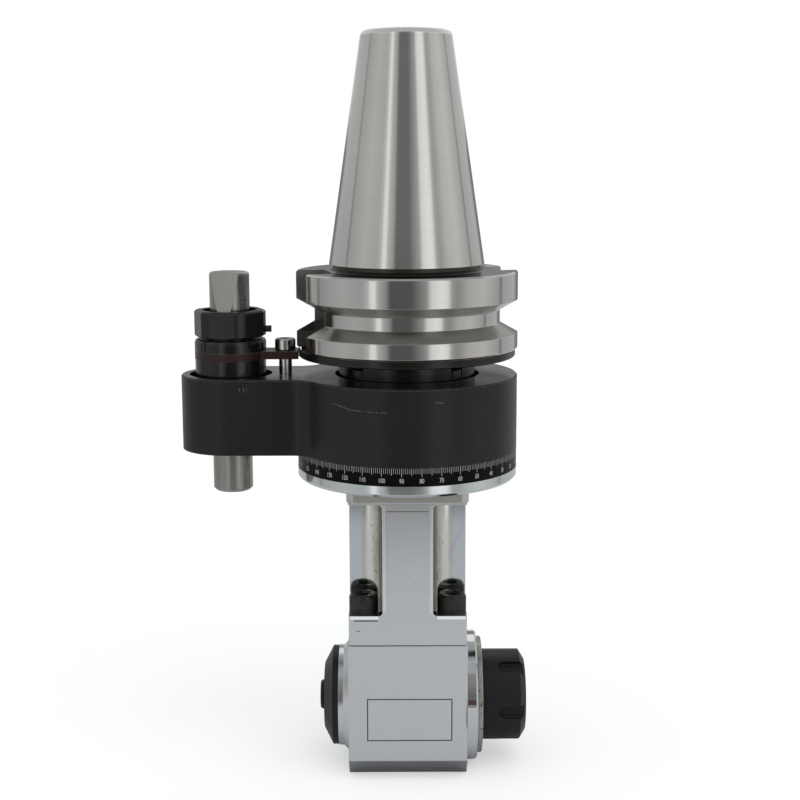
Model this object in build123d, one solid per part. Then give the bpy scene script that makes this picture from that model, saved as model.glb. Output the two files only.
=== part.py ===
from build123d import *
import os
from math import acos, cos, pi, radians, sin, sqrt, tan

# Angle head with a 50-taper shank. Millimetres, +Z up along the shank.
# The origin is on the shank's axis at the gauge line. The cutter spindle points along +X,
# the stop block's arm points along -X, and the front of the head faces -Y.

# Clearances
running = 0.05          # on the radius of a pin or shaft that turns or slides in a hole
face_play = 0.1         # between the stop block and the faces that it turns on
gap = 0.3               # between pieces of different bodies that only pass each other
screw_room = 0.3        # on the radius of a screw's clearance hole

# Socket screws
socket_across = 0.75    # of the thread's diameter
socket_depth = 0.5      # of the head's height

# Taper shank
gauge_dia = 69.85
taper = 7 / 24          # loss of diameter for each unit of length
cone_length = 101.8
cone_end_round = 2.0
relief_dia = 66.6
relief_height = 3.0
relief_root = 1.2       # slope where the relief meets the flange
flange_dia = 100.0
flange_height = 35.0
flange_edge = 0.8
groove_centre = 23.2    # below the gauge line
groove_floor = 5.7
groove_depth = 8.0
groove_slope = 30.0     # degrees from level
drive_slot_width = 25.7
drive_slot_reach = 35.4  # from the axis to the slot's floor
drive_slot_turn = 13.6  # degrees about the axis
stud_pilot_dia = 25.0
stud_pilot_depth = 9.0
stud_thread_bore = 21.0
stud_thread_length = 45.0
shaft_screw_bore = 20.4
shank_web_top = -2.0
shank_web = 14.0
hub_dia = 30.0

# Lock ring, pressed on the hub under the flange
lock_ring_dia = 98.0
lock_ring_height = 3.4
lock_ring_bevel = 0.5
lock_notch_depth = 6.0

# Bearing cover, the black hub above the stop block
cover_gap = 0.5         # between the turning lock ring and the cover
cover_wall = 5.0        # round the upper bearing
cover_height = 12.1
cover_spigot = 3.0
cover_screw_dia = 4.0
cover_screw_inset = 0.6  # between its hole and the upper bearing
cover_screw_count = 4
cover_screw_turn = 45.0
cover_screw_head_dia = 7.0
cover_screw_head_height = 4.0
cover_screw_length = 14.0
cover_pocket_dia = 8.2
cover_pocket_depth = 7.0
cover_edge = 0.5

# Stop block
block_top = -49.7
block_height = 33.9
block_wall = 17.3       # between the block's bore and its outside
block_edge = 0.6
arm_width = 45.0
arm_root_round = 12.0
block_bore_room = 1.7   # round the bearing cover
pin_bush_dia = 24.0
sleeve_pocket_dia = 37.5
sleeve_pocket_depth = 14.3

# Clamp screws, driven from below, and their nuts in the block's annular slot
clamp_count = 4
clamp_screw_dia = 6.0
clamp_head_dia = 10.0
clamp_head_height = 6.0
clamp_head_sink = 0.5
slot_mouth = 6.6
slot_width = 10.6
slot_lip = 4.0
slot_depth = 5.2
slot_play = 0.3
slot_nut_length = 14.0

# Dial ring
dial_height = 8.0
dial_wall = 4.0
dial_edge = 0.3

# Neck
neck_flange_height = 5.0
neck_flange_edge = 1.3
collar_height = 6.8
collar_overhang = 0.65
collar_corner = 3.0
neck_width = 53.0
neck_depth = 60.0
neck_corner = 0.8
pocket_top_gap = 1.0
pocket_height = 51.0
pocket_corner = 2.0
foot_height = 14.0
foot_edge = 0.6
foot_side_edge = 2.0    # across, at the foot's left and right
neck_bore = 28.0

# Screws and dowels between the neck and the head housing
neck_screw_dia = 8.0
neck_screw_head_dia = 13.0
neck_screw_head_height = 8.0
neck_screw_length = 25.0
neck_screw_spacing = 40.0
pocket_play = 2.2       # between a screw's head and the pocket's wall
dowel_dia = 6.0
dowel_length = 16.0
dowel_reach = 25.5      # from the shank's axis, at the front and back

# Head housing
spindle_drop = 203.2    # from the gauge line down to the spindle's axis
housing_width = 54.0
housing_depth = 60.0
housing_below = 30.2    # from the spindle's axis to the base
base_bevel = 9.5
housing_corner = 0.8
cavity_room = 0.9       # round the turning gears
boss_dia = 46.8
boss_length = 5.0
boss_flare = 2.7

# Spindle cover and labyrinth ring
cover_plate_dia = 60.0
cover_plate_height = 5.0
cover_plate_edge = 0.9
labyrinth_dia = 54.0
labyrinth_height = 2.0
labyrinth_edge = 0.4

# Sealed bearings of the shaft
upper_bearing_bore = 25.0
upper_bearing_dia = 52.0
upper_bearing_width = 15.0
lower_bearing_bore = 20.0
lower_bearing_dia = 42.0
lower_bearing_width = 12.0

# Sealed bearings of the spindle
front_bearing_bore = 30.0
front_bearing_dia = 47.0
front_bearing_width = 9.0
rear_bearing_bore = 17.0
rear_bearing_dia = 30.0
rear_bearing_width = 7.0

# Bearing seats
bearing_land = 1.0      # how far a housing's lip reaches over an outer ring
relief = 0.5            # beside an inner ring, so that only the outer ring seats

# Drive shaft
shaft_head_dia = 20.0
shaft_end_dia = 16.0
spacer_wall = 2.6
shank_key_width = 6.0
shank_key_height = 6.0
shank_key_length = 22.0
shank_key_drop = 6.0
shaft_screw_dia = 12.0
shaft_screw_head_dia = 18.0
shaft_screw_head_height = 12.0
shaft_screw_length = 40.0
seal_dia = 42.0
seal_height = 7.0
seal_wall = 1.4
seal_lip = 1.2
seal_lip_length = 2.6

# Bevel gears, an equal pair at right angles
gear_teeth = 16
gear_module = 2.0
gear_face = 7.0
gear_hub_dia = 23.0
gear_rim = 3.3
gear_thinning = 0.12    # off each flank, for backlash
pressure_angle = 20.0
addendum_share = 1.0
dedendum_share = 1.2
tooth_root_sink = 0.2   # how far a tooth reaches into its blank
flank_steps = 2
gear_key_width = 5.0
gear_key_height = 5.0
gear_key_length = 9.0
gear_screw_dia = 6.0
gear_screw_head_dia = 10.0
gear_screw_head_height = 3.4
gear_screw_length = 20.0
gear_screw_sink = 4.2
gear_web = 2.4          # under the screw's head

# Spindle
spindle_mid_dia = 18.4
spindle_shoulder_dia = 35.6
nose_thread_dia = 32.0
nose_length = 13.2      # thread beyond the labyrinth ring
spindle_bore = 7.0
spindle_cone_start = 12.0
spindle_cone_end_dia = 28.6
spindle_tail_dia = 16.0
spindle_tail_length = 5.0
lock_nut_dia = 23.0
lock_nut_height = 4.0
lock_nut_slot_count = 4
lock_nut_slot = 4.0
lock_nut_slot_depth = 1.5

# Collet, with an 8 degree seat
collet_mouth_dia = 26.0
collet_seat_angle = 8.0
collet_seat_length = 27.4
collet_groove_dia = 22.8
collet_groove = 2.6
collet_head_dia = 25.0
collet_head = 1.5
collet_front_dia = 22.0
collet_front_angle = 30.0
collet_bore = 16.0
collet_slit = 1.0
collet_slit_count = 4   # from each end
collet_web = 5.0        # left uncut at a slit's blind end
collet_tail_room = 0.3

# Collet nut
nut_dia = 42.0
nut_length = 20.0
nut_bevel_length = 2.6
nut_bevel_height = 4.3
nut_slot_count = 6
nut_slot_width = 6.8
nut_slot_length = 13.2
nut_slot_depth = 2.9
nut_slot_turn = 4.1     # degrees from -Y toward -Z
thread_play = 0.08
collet_play = 0.3       # between the collet's head and the nut, along the axis
nut_tail_edge = 0.5

# Rear cap
cap_dia = 46.0
cap_rim = 2.8
cap_cone_length = 4.0
cap_face_dia = 30.6
cap_boss_dia = 13.6
cap_boss_height = 2.1
cap_boss_edge = 0.7
cap_spigot = 2.5
cap_thread_dia = 36.0
cap_cavity_dia = 26.0
cap_wall = 2.6

# Stop pin group
pin_dia = 18.0
pin_top = -3.5
pin_length = 100.0
pin_edge = 1.2
pin_flat_top_width = 12.8
pin_flat_run = 21.8     # how far below the top the flat runs out
pin_flat_turn = -12.0   # degrees from the front
hex_collar_top = -20.6
hex_collar_height = 12.1
hex_collar_dia = 32.3
hex_across_flats = 30.2
hex_turn = -7.4
hex_collar_edge = 0.8
hex_collar_mouth_dia = 24.6
hex_collar_mouth = 5.0
collar_join = 0.8       # narrow neck between the two collars
collar_join_dia = 22.6
upper_collar_height = 5.5
upper_collar_edge = 1.6
upper_collar_slit = 0.8
upper_collar_slit_turn = -128.0  # degrees about the pin
lever_height = 3.5
lever_eye_dia = 32.3
lever_arm_width = 14.4
sleeve_dia = 32.0
sleeve_wall = 3.0
sleeve_height = 14.2
sleeve_roof = 2.0
sleeve_edge = 0.6
dog_dia = 3.0
dog_stand = 2.5
dog_drop = 8.8          # below the hex collar's top
dog_length = 7.0
shoulder_screw_room = 0.5  # between its head and the flange
collar_room = 3.95      # between the shoulder screw's head and the collars
shoulder_dia = 6.0
shoulder_head_dia = 9.4
shoulder_head_height = 5.2
shoulder_thread_dia = 5.0
shoulder_thread_length = 9.0
shoulder_head_edge = 0.5
shoulder_socket = 4.0
shoulder_socket_depth = 2.7
spring_wire = 1.8
spring_coils = 3
spring_play = 0.6
spring_end_room = 0.1
bush_flange_height = 1.5


# Places that follow from the sizes above
flange_bottom = -relief_height - flange_height
lock_ring_bottom = flange_bottom - lock_ring_height
cover_top = lock_ring_bottom - cover_gap
cover_seat = cover_top - cover_height
cover_dia = upper_bearing_dia + 2 * cover_wall
cover_screw_circle = upper_bearing_dia + cover_screw_dia + 2 * cover_screw_inset
block_bore = cover_dia + 2 * block_bore_room
block_dia = block_bore + 2 * block_wall
clamp_circle = block_bore + block_wall - dial_wall
bearing_top = cover_seat - cover_spigot
upper_bearing_floor = bearing_top - upper_bearing_width
cover_screw_seat = cover_top - cover_pocket_depth
block_bottom = block_top - block_height
ledge = block_bottom - face_play
dial_bottom = ledge - dial_height
neck_flange_bottom = dial_bottom - neck_flange_height
clamp_seat = neck_flange_bottom + clamp_head_sink + clamp_head_height
slot_roof = block_bottom + slot_lip + slot_depth
collar_bottom = neck_flange_bottom - collar_height
pocket_top = collar_bottom - pocket_top_gap
pocket_floor = pocket_top - pocket_height
seam = pocket_floor - foot_height
base = -spindle_drop - housing_below
lower_bearing_top = seam + lower_bearing_width
shank_web_bottom = shank_web_top - shank_web
shaft_screw_tip = shank_web_top - shaft_screw_length
sleeve_body_dia = block_bore - 2 * running
pin_bottom = pin_top - pin_length
lever_top = hex_collar_top - hex_collar_height - collar_join - upper_collar_height
lever_bottom = lever_top - lever_height
sleeve_bottom = lever_bottom - sleeve_height
sleeve_pocket_floor = block_top - sleeve_pocket_depth
spring_seat = sleeve_pocket_floor + bush_flange_height
spring_inner = pin_dia / 2 + spring_play
spring_outer = sleeve_dia / 2 - sleeve_wall - spring_play
lever_tip = lock_ring_dia / 2 + gap
shank_reach = max(flange_dia, lock_ring_dia) / 2
shoulder_screw_reach = shank_reach + shoulder_screw_room + shoulder_head_dia / 2
pin_reach = shoulder_screw_reach + shoulder_head_dia / 2 + collar_room + hex_collar_dia / 2

# Places along the spindle, measured from the shank's axis
housing_front = housing_width / 2
cover_plate_front = housing_front + cover_plate_height
labyrinth_back = cover_plate_front + gap
labyrinth_front = labyrinth_back + labyrinth_height
nose_face = labyrinth_front + nose_length
nut_back = labyrinth_front + gap
nut_front = nut_back + nut_length
front_bearing_back = housing_front - front_bearing_width
boss_face = -housing_front - boss_length
cap_seat = boss_face + cap_spigot
rear_bearing_front = cap_seat + rear_bearing_width
collet_tail = nose_face - collet_seat_length
rear_inner_lip = rear_bearing_front + bearing_land

# Gear proportions
gear_pitch_radius = gear_module * gear_teeth / 2
cone_distance = gear_pitch_radius * sqrt(2)
toe_share = (cone_distance - gear_face) / cone_distance
gear_outer_radius = gear_pitch_radius + addendum_share * gear_module / sqrt(2)
cavity_radius = gear_outer_radius + cavity_room
gear_root_height = gear_pitch_radius + dedendum_share * gear_module / sqrt(2)
gear_root_radius = gear_pitch_radius - dedendum_share * gear_module / sqrt(2)
gear_toe = gear_root_height * toe_share
gear_screw_seat = -spindle_drop + gear_toe + gear_screw_sink
drive_shaft_end = gear_screw_seat + gear_web
gear_screw_hold = gear_screw_length - gear_web


def inside_round(edge):
    """How far the middle of a round lies inside the corner that it breaks."""
    return edge * (1 - cos(radians(45)))


def hexagon(across_flats):
    """A hexagon by its size across flats."""
    return RegularPolygon(across_flats / 2, 6, major_radius=False)


def turned(points):
    """A solid turned about Z from its half section of (radius, height) points."""
    outline = Polyline(*points, close=True)
    return revolve(Plane.XZ * make_face(outline), Axis.Z)


def rod(diameter, low, high):
    """A plain round bar between two heights."""
    return Pos(0, 0, low) * extrude(Circle(diameter / 2), high - low)


def ring(outer, inner, low, high):
    """A plain tube between two heights."""
    return Pos(0, 0, low) * extrude(Circle(outer / 2) - Circle(inner / 2), high - low)


def prism(width, depth, low, high):
    """A box centred on the axis between two heights."""
    return Pos(0, 0, low) * extrude(Rectangle(width, depth), high - low)


def at_polar(radius, angle):
    """A place on a circle about the shank's axis, turned with its angle."""
    return Rot(0, 0, angle) * Pos(radius, 0, 0)


def copies(shape, radius, count, first):
    """The same piece on a circle, as separate solids."""
    step = 360 / count
    return [at_polar(radius, first + step * index) * shape for index in range(count)]


def on_spindle(shape):
    """Lay a piece built about Z along the spindle's axis, its Z becoming +X."""
    return Pos(0, 0, -spindle_drop) * Rot(0, 90, 0) * shape


def socket_screw(thread, head, head_height, length, seat):
    """A socket head screw that points down, its head's underside at the seat height."""
    body = turned([
        (0, seat + head_height),
        (head / 2, seat + head_height),
        (head / 2, seat),
        (thread / 2, seat),
        (thread / 2, seat - length),
        (0, seat - length),
    ])
    socket = extrude(hexagon(thread * socket_across), -head_height * socket_depth)
    return body - Pos(0, 0, seat + head_height) * socket


def upward(screw, seat):
    """Turn over a screw that was built with its seat at height 0."""
    return Pos(0, 0, seat) * Rot(180, 0, 0) * screw


def bearing_middle(bore, outside):
    """The diameter at which a sealed bearing's two halves meet."""
    return (bore + outside) / 2


def sealed_bearing(bore, outside, width, low):
    """Outer and inner half of a sealed bearing that stands on the height low."""
    middle = bearing_middle(bore, outside)
    outer = ring(outside, middle + running, low, low + width)
    inner = ring(middle - running, bore, low, low + width)
    return outer, inner


def taper_shank():
    """The 7:24 cone with its grooved flange, drive slots and the hub below."""
    small = (gauge_dia - cone_length * taper) / 2
    slope_height = groove_depth * tan(radians(groove_slope))
    flange = flange_dia / 2
    waist = flange - groove_depth
    top = -relief_height
    high = -groove_centre + groove_floor / 2
    low = -groove_centre - groove_floor / 2
    edge = flange_edge
    inner_round = inside_round(cone_end_round)
    body = turned([
        (0, cone_length),
        (small - cone_end_round, cone_length),
        (small - inner_round, cone_length - inner_round),
        (small + cone_end_round * taper / 2, cone_length - cone_end_round),
        (gauge_dia / 2, 0),
        (relief_dia / 2, 0),
        (relief_dia / 2, top + relief_root),
        (relief_dia / 2 + relief_root, top),
        (flange - edge, top),
        (flange, top - edge),
        (flange, high + slope_height),
        (waist, high),
        (waist, low),
        (flange, low - slope_height),
        (flange, flange_bottom + edge),
        (flange - edge, flange_bottom),
        (hub_dia / 2, flange_bottom),
        (hub_dia / 2, bearing_top),
        (0, bearing_top),
    ])
    thread_end = cone_length - stud_pilot_depth - stud_thread_length
    body -= rod(stud_pilot_dia, cone_length - stud_pilot_depth, cone_length)
    body -= rod(stud_thread_bore, thread_end, cone_length)
    body -= rod(shaft_screw_bore, shank_web_top, cone_length)
    body -= rod(shaft_screw_dia + 2 * screw_room, shank_web_bottom, shank_web_top)
    body -= rod(shaft_head_dia, bearing_top, shank_web_bottom)
    reach = flange - drive_slot_reach
    slot = Pos(drive_slot_reach + reach / 2, 0, flange_bottom) * extrude(
        Rectangle(reach, drive_slot_width), flange_height)
    for side in (0, 180):
        body -= Rot(0, 0, drive_slot_turn + side) * slot
    return body - shaft_key()


def shaft_key():
    """The key between the shank and the drive shaft, with its square corners."""
    low = shank_web_bottom - shank_key_drop - shank_key_length
    plan = Rectangle(shank_key_width, shank_key_height)
    return Pos(0, shaft_head_dia / 2, low) * extrude(plan, shank_key_length)


def lock_ring():
    """The disc under the flange, with the notch that the lever's tongue locks."""
    outer = lock_ring_dia / 2
    disc = turned([
        (hub_dia / 2, flange_bottom),
        (outer, flange_bottom),
        (outer, lock_ring_bottom + lock_ring_bevel),
        (outer - lock_ring_bevel, lock_ring_bottom),
        (hub_dia / 2, lock_ring_bottom),
    ])
    notch_width = lever_arm_width + 2 * gap
    notch = prism(2 * lock_notch_depth, notch_width, lock_ring_bottom, flange_bottom)
    disc -= Pos(-outer, 0, 0) * notch
    return disc


def bearing_cover():
    """The static hub over the upper bearing, with side pockets for its screws."""
    outer = cover_dia / 2
    body = turned([
        (hub_dia / 2 + gap, cover_top),
        (outer - cover_edge, cover_top),
        (outer, cover_top - cover_edge),
        (outer, cover_seat),
        (upper_bearing_dia / 2, cover_seat),
        (upper_bearing_dia / 2, bearing_top),
        (seal_dia / 2 - bearing_land, bearing_top),
        (seal_dia / 2 - bearing_land, bearing_top + 2 * bearing_land),
        (seal_dia / 2, bearing_top + 2 * bearing_land),
        (seal_dia / 2, bearing_top + 2 * bearing_land + seal_height),
        (hub_dia / 2 + gap, bearing_top + 2 * bearing_land + seal_height),
    ])
    pocket = rod(cover_pocket_dia, cover_screw_seat, cover_top)
    hole = rod(cover_screw_dia + 2 * screw_room, cover_seat, cover_top)
    for cut in copies(pocket + hole, cover_screw_circle / 2, cover_screw_count, cover_screw_turn):
        body -= cut
    return body


def cover_screws():
    """Socket screws in the bearing cover's pockets."""
    screw = socket_screw(cover_screw_dia, cover_screw_head_dia, cover_screw_head_height,
                         cover_screw_length, cover_screw_seat)
    return copies(screw, cover_screw_circle / 2, cover_screw_count, cover_screw_turn)


def shaft_seal():
    """The lip seal that runs on the shank's hub."""
    low = bearing_top + 2 * bearing_land
    high = low + seal_height
    outer = seal_dia / 2
    lip = hub_dia / 2 + running
    return turned([
        (lip + seal_lip, high),
        (outer, high),
        (outer, low),
        (outer - seal_wall, low),
        (outer - seal_wall, high - seal_wall),
        (lip + seal_lip + seal_wall, high - seal_wall),
        (lip, high - seal_wall - seal_lip_length),
    ])


def drive_shaft():
    """The shaft from the shank's bore down to the upper bevel gear."""
    neck = upper_bearing_bore / 2
    slim = lower_bearing_bore / 2
    body = turned([
        (0, shank_web_bottom),
        (shaft_head_dia / 2, shank_web_bottom),
        (shaft_head_dia / 2, bearing_top),
        (neck, bearing_top),
        (neck, upper_bearing_floor),
        (slim, upper_bearing_floor),
        (slim, seam),
        (shaft_end_dia / 2, seam),
        (shaft_end_dia / 2, drive_shaft_end),
        (0, drive_shaft_end),
    ])
    body -= rod(shaft_screw_dia, shaft_screw_tip, shank_web_bottom)
    body -= rod(gear_screw_dia, drive_shaft_end, drive_shaft_end + gear_screw_hold)
    return body - shaft_key() - upper_gear_key()


def upper_gear_key():
    """The key between the drive shaft and the upper gear."""
    plan = Rectangle(gear_key_width, gear_key_height)
    low = seam - gear_key_length - gap
    return Pos(0, shaft_end_dia / 2, low) * extrude(plan, gear_key_length)


def lower_gear_key():
    """The key between the spindle and its gear, built about Z."""
    plan = Rectangle(gear_key_width, gear_key_height)
    low = rear_bearing_front + gap
    return Pos(0, rear_bearing_bore / 2, low) * extrude(plan, gear_key_length)


def tooth_section(scale):
    """One tooth's outline on the back cone, with involute flanks, scaled to the apex."""
    pitch = gear_pitch_radius * sqrt(2)
    base_circle = pitch * cos(radians(pressure_angle))
    involute = tan(radians(pressure_angle)) - radians(pressure_angle)
    half_pitch_angle = (pi * gear_module / 4 - gear_thinning) / pitch
    flank = []
    lowest = -dedendum_share * gear_module - tooth_root_sink
    for index in range(flank_steps + 1):
        above = lowest + (addendum_share * gear_module - lowest) * index / flank_steps
        radius = pitch + above
        working = max(radius, base_circle)
        angle = acos(base_circle / working)
        half = half_pitch_angle + involute - (tan(angle) - angle)
        flank.append((radius * sin(half), above))
    left = [(-across, -above) for across, above in flank]
    right = [(across, -above) for across, above in reversed(flank)]
    outline = [(across * scale, above * scale) for across, above in left + right]
    return make_face(Polyline(*outline, close=True))


def bevel_gear(bore_dia, hub_back, first_angle):
    """A straight bevel gear above its apex at the origin, with its hub's back height."""
    along = Vector(1, 0, 1).normalized()
    heel = Plane(origin=along * cone_distance, x_dir=(0, 1, 0), z_dir=along)
    toe = Plane(origin=along * cone_distance * toe_share, x_dir=(0, 1, 0), z_dir=along)
    tooth = loft([heel * tooth_section(1.0), toe * tooth_section(toe_share)], ruled=True)
    rim_radius = gear_root_radius - gear_rim / sqrt(2)
    rim_height = gear_root_height + gear_rim / sqrt(2)
    blank = turned([
        (bore_dia / 2, gear_toe),
        (gear_root_radius * toe_share, gear_toe),
        (gear_root_radius, gear_root_height),
        (rim_radius, rim_height),
        (gear_hub_dia / 2, rim_height),
        (gear_hub_dia / 2, hub_back),
        (bore_dia / 2, hub_back),
    ])
    step = 360 / gear_teeth
    teeth = [Rot(0, 0, first_angle + step * index) * tooth for index in range(gear_teeth)]
    return blank + teeth


def drive_bevel_gear():
    """The upper gear on the drive shaft, with a web under its screw's head."""
    hub_back = seam + spindle_drop
    gear = Pos(0, 0, -spindle_drop) * bevel_gear(shaft_end_dia, hub_back, 0)
    web = ring(gear_hub_dia, gear_screw_dia + 2 * screw_room, gear_screw_seat, drive_shaft_end)
    return gear + web - upper_gear_key()


def gear_screw():
    """The screw that holds the upper gear on the shaft, driven from below."""
    screw = socket_screw(gear_screw_dia, gear_screw_head_dia, gear_screw_head_height,
                         gear_screw_length, 0)
    return upward(screw, gear_screw_seat)


def spindle_bevel_gear():
    """The gear on the spindle, in mesh with the upper one."""
    half_step = 180 / gear_teeth
    hub_back = -rear_bearing_front
    gear = Rot(180, 0, 0) * bevel_gear(rear_bearing_bore, hub_back, half_step)
    return gear - lower_gear_key()


def spindle():
    """The cutter spindle with its collet seat, built about Z with the nose upward."""
    seat_slope = tan(radians(collet_seat_angle))
    mouth = collet_mouth_dia / 2
    seat_end = collet_tail - collet_tail_room
    seat_end_radius = mouth - (nose_face - seat_end) * seat_slope
    thread = nose_thread_dia / 2
    tail_end = cap_seat - spindle_tail_length
    return turned([
        (spindle_bore / 2, tail_end),
        (spindle_tail_dia / 2, tail_end),
        (spindle_tail_dia / 2, cap_seat),
        (rear_bearing_bore / 2, cap_seat),
        (rear_bearing_bore / 2, -gear_toe),
        (spindle_mid_dia / 2, -gear_toe),
        (spindle_mid_dia / 2, spindle_cone_start),
        (spindle_cone_end_dia / 2, front_bearing_back),
        (front_bearing_bore / 2, front_bearing_back),
        (front_bearing_bore / 2, housing_front),
        (spindle_shoulder_dia / 2, housing_front),
        (spindle_shoulder_dia / 2, labyrinth_back),
        (thread, labyrinth_back),
        (thread, nose_face),
        (mouth, nose_face),
        (seat_end_radius, seat_end),
        (spindle_bore / 2, seat_end),
    ]) - lower_gear_key()


def labyrinth_ring():
    """The grey ring that turns with the spindle in front of its cover."""
    outer = labyrinth_dia / 2
    bore = nose_thread_dia / 2
    return turned([
        (bore, labyrinth_back),
        (outer, labyrinth_back),
        (outer, labyrinth_front - labyrinth_edge),
        (outer - labyrinth_edge, labyrinth_front),
        (bore, labyrinth_front),
    ])


def spindle_lock_nut():
    """The slotted nut behind the rear bearing."""
    low = cap_seat - lock_nut_height
    nut = ring(lock_nut_dia, spindle_tail_dia, low, cap_seat)
    cutter = prism(2 * lock_nut_slot_depth, lock_nut_slot, low, cap_seat)
    for slot in copies(cutter, lock_nut_dia / 2, lock_nut_slot_count, 0):
        nut -= slot
    return nut


def collet():
    """The collet, slit from both ends in turn."""
    slope = tan(radians(collet_seat_angle))
    mouth = collet_mouth_dia / 2 - running
    tail = mouth - collet_seat_length * slope
    groove_front = nose_face + collet_groove
    head_front = groove_front + collet_head
    front = head_front + (collet_head_dia - collet_front_dia) / 2 / tan(radians(collet_front_angle))
    body = turned([
        (collet_bore / 2, collet_tail),
        (tail, collet_tail),
        (mouth, nose_face),
        (collet_groove_dia / 2, nose_face),
        (collet_groove_dia / 2, groove_front),
        (collet_head_dia / 2, groove_front),
        (collet_head_dia / 2, head_front),
        (collet_front_dia / 2, front),
        (collet_bore / 2, front),
    ])
    cut_radius = collet_mouth_dia
    slit = Pos(cut_radius / 2, 0, 0) * Rectangle(cut_radius, collet_slit)
    step = 360 / collet_slit_count
    for index in range(collet_slit_count):
        from_front = Pos(0, 0, collet_tail + collet_web) * extrude(slit, front - collet_tail)
        from_tail = Pos(0, 0, collet_tail) * extrude(slit, front - collet_tail - collet_web)
        body -= Rot(0, 0, step * index) * from_front
        body -= Rot(0, 0, step * (index + 0.5)) * from_tail
    return body


def collet_nut():
    """The clamping nut with its front bevel and six spanner slots."""
    outer = nut_dia / 2
    thread = nose_thread_dia / 2 + thread_play
    catch = collet_groove_dia / 2 + collet_play
    groove_front = nose_face + collet_groove
    head_front = groove_front + collet_head
    head = collet_head_dia / 2 + collet_play / 2
    mouth = collet_front_dia / 2 + collet_play / 2
    cone = (head - mouth) / tan(radians(collet_front_angle))
    body = turned([
        (thread, nut_back),
        (outer - nut_tail_edge, nut_back),
        (outer, nut_back + nut_tail_edge),
        (outer, nut_front - nut_bevel_length),
        (outer - nut_bevel_height, nut_front),
        (mouth, nut_front),
        (mouth, head_front + collet_play + cone),
        (head, head_front + collet_play),
        (head, groove_front - collet_play),
        (catch, groove_front - collet_play),
        (catch, nose_face + collet_play),
        (thread, nose_face + collet_play),
    ])
    straight = nut_slot_length - nut_slot_width / 2
    outline = Pos(straight / 2, 0) * Rectangle(straight, nut_slot_width)
    outline += Circle(nut_slot_width / 2)
    floor = outer - nut_slot_depth
    wall = Plane(origin=(0, -floor, nut_front - straight), x_dir=(0, 0, 1), z_dir=(0, -1, 0))
    slot = extrude(wall * outline, nut_slot_depth * 2)
    step = 360 / nut_slot_count
    for index in range(nut_slot_count):
        body -= Rot(0, 0, nut_slot_turn + step * index) * slot
    return body


def spindle_cover():
    """The bright cover that holds the front bearing's outer ring."""
    outer = cover_plate_dia / 2
    inner = spindle_shoulder_dia / 2 + gap
    race = bearing_middle(front_bearing_bore, front_bearing_dia) / 2
    edge = cover_plate_edge
    return turned([
        (inner, housing_front + relief),
        (race, housing_front + relief),
        (race, housing_front),
        (outer, housing_front),
        (outer, cover_plate_front - edge),
        (outer - edge, cover_plate_front),
        (inner, cover_plate_front),
    ])


def rear_cap():
    """The turned cap that screws into the rear boss over the lock nut."""
    rim = boss_face - cap_rim
    face = rim - cap_cone_length
    top = face - cap_boss_height
    boss = cap_boss_dia / 2
    cavity = cap_cavity_dia / 2
    return turned([
        (0, top),
        (boss - cap_boss_edge, top),
        (boss, top + cap_boss_edge),
        (boss, face),
        (cap_face_dia / 2, face),
        (cap_dia / 2, rim),
        (cap_dia / 2, boss_face),
        (cap_thread_dia / 2, boss_face),
        (cap_thread_dia / 2, cap_seat),
        (cavity, cap_seat),
        (cavity, face + cap_wall),
        (0, face + cap_wall),
    ])


def neck():
    """Sleeve, flange, collar, pocketed column and foot in one piece."""
    sleeve = sleeve_body_dia / 2
    dial_seat = block_dia / 2 - dial_wall
    flange = block_dia / 2
    seat = upper_bearing_dia / 2
    race = bearing_middle(upper_bearing_bore, upper_bearing_dia) / 2
    bore = neck_bore / 2
    body = turned([
        (seat, cover_seat),
        (sleeve, cover_seat),
        (sleeve, ledge),
        (dial_seat, ledge),
        (dial_seat, dial_bottom),
        (flange, dial_bottom),
        (flange, neck_flange_bottom + neck_flange_edge),
        (flange - neck_flange_edge, neck_flange_bottom),
        (bore, neck_flange_bottom),
        (bore, upper_bearing_floor - relief),
        (race, upper_bearing_floor - relief),
        (race, upper_bearing_floor),
        (seat, upper_bearing_floor),
    ])
    cover_hole_end = cover_screw_seat - cover_screw_length
    cuts = copies(rod(cover_screw_dia, cover_hole_end, cover_seat),
                  cover_screw_circle / 2, cover_screw_count, cover_screw_turn)
    clamp_hole = rod(clamp_screw_dia + 2 * screw_room, clamp_seat, ledge)
    clamp_hole += rod(clamp_head_dia + 2 * screw_room, neck_flange_bottom, clamp_seat)
    cuts += copies(clamp_hole, clamp_circle / 2, clamp_count, 0)
    for hole in cuts:
        body -= hole
    collar_plan = Rectangle(neck_width + 2 * collar_overhang, neck_depth + 2 * collar_overhang)
    collar_plan = chamfer(collar_plan.vertices(), collar_corner)
    column_plan = chamfer(Rectangle(neck_width, neck_depth).vertices(), neck_corner)
    body += Pos(0, 0, collar_bottom) * extrude(collar_plan, collar_height)
    column = Pos(0, 0, seam) * extrude(column_plan, collar_bottom - seam)
    sole = column.faces().sort_by(Axis.Z)[0]
    column = chamfer(sole.edges().filter_by(Axis.X), foot_edge)
    sole = column.faces().sort_by(Axis.Z)[0]
    column = chamfer(sole.edges().filter_by(Axis.Y), foot_side_edge, foot_edge, reference=sole)
    for pocket in corner_pockets():
        column -= pocket
    body += column
    body -= rod(neck_bore, seam, collar_bottom + collar_height)
    body -= rod(lower_bearing_dia, seam, lower_bearing_top)
    lower_race = bearing_middle(lower_bearing_bore, lower_bearing_dia)
    body -= rod(lower_race, lower_bearing_top, lower_bearing_top + relief)
    for hole in neck_screw_places(rod(neck_screw_dia + 2 * screw_room, seam, pocket_floor)):
        body -= hole
    for hole in dowels():
        body -= hole
    return body


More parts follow.
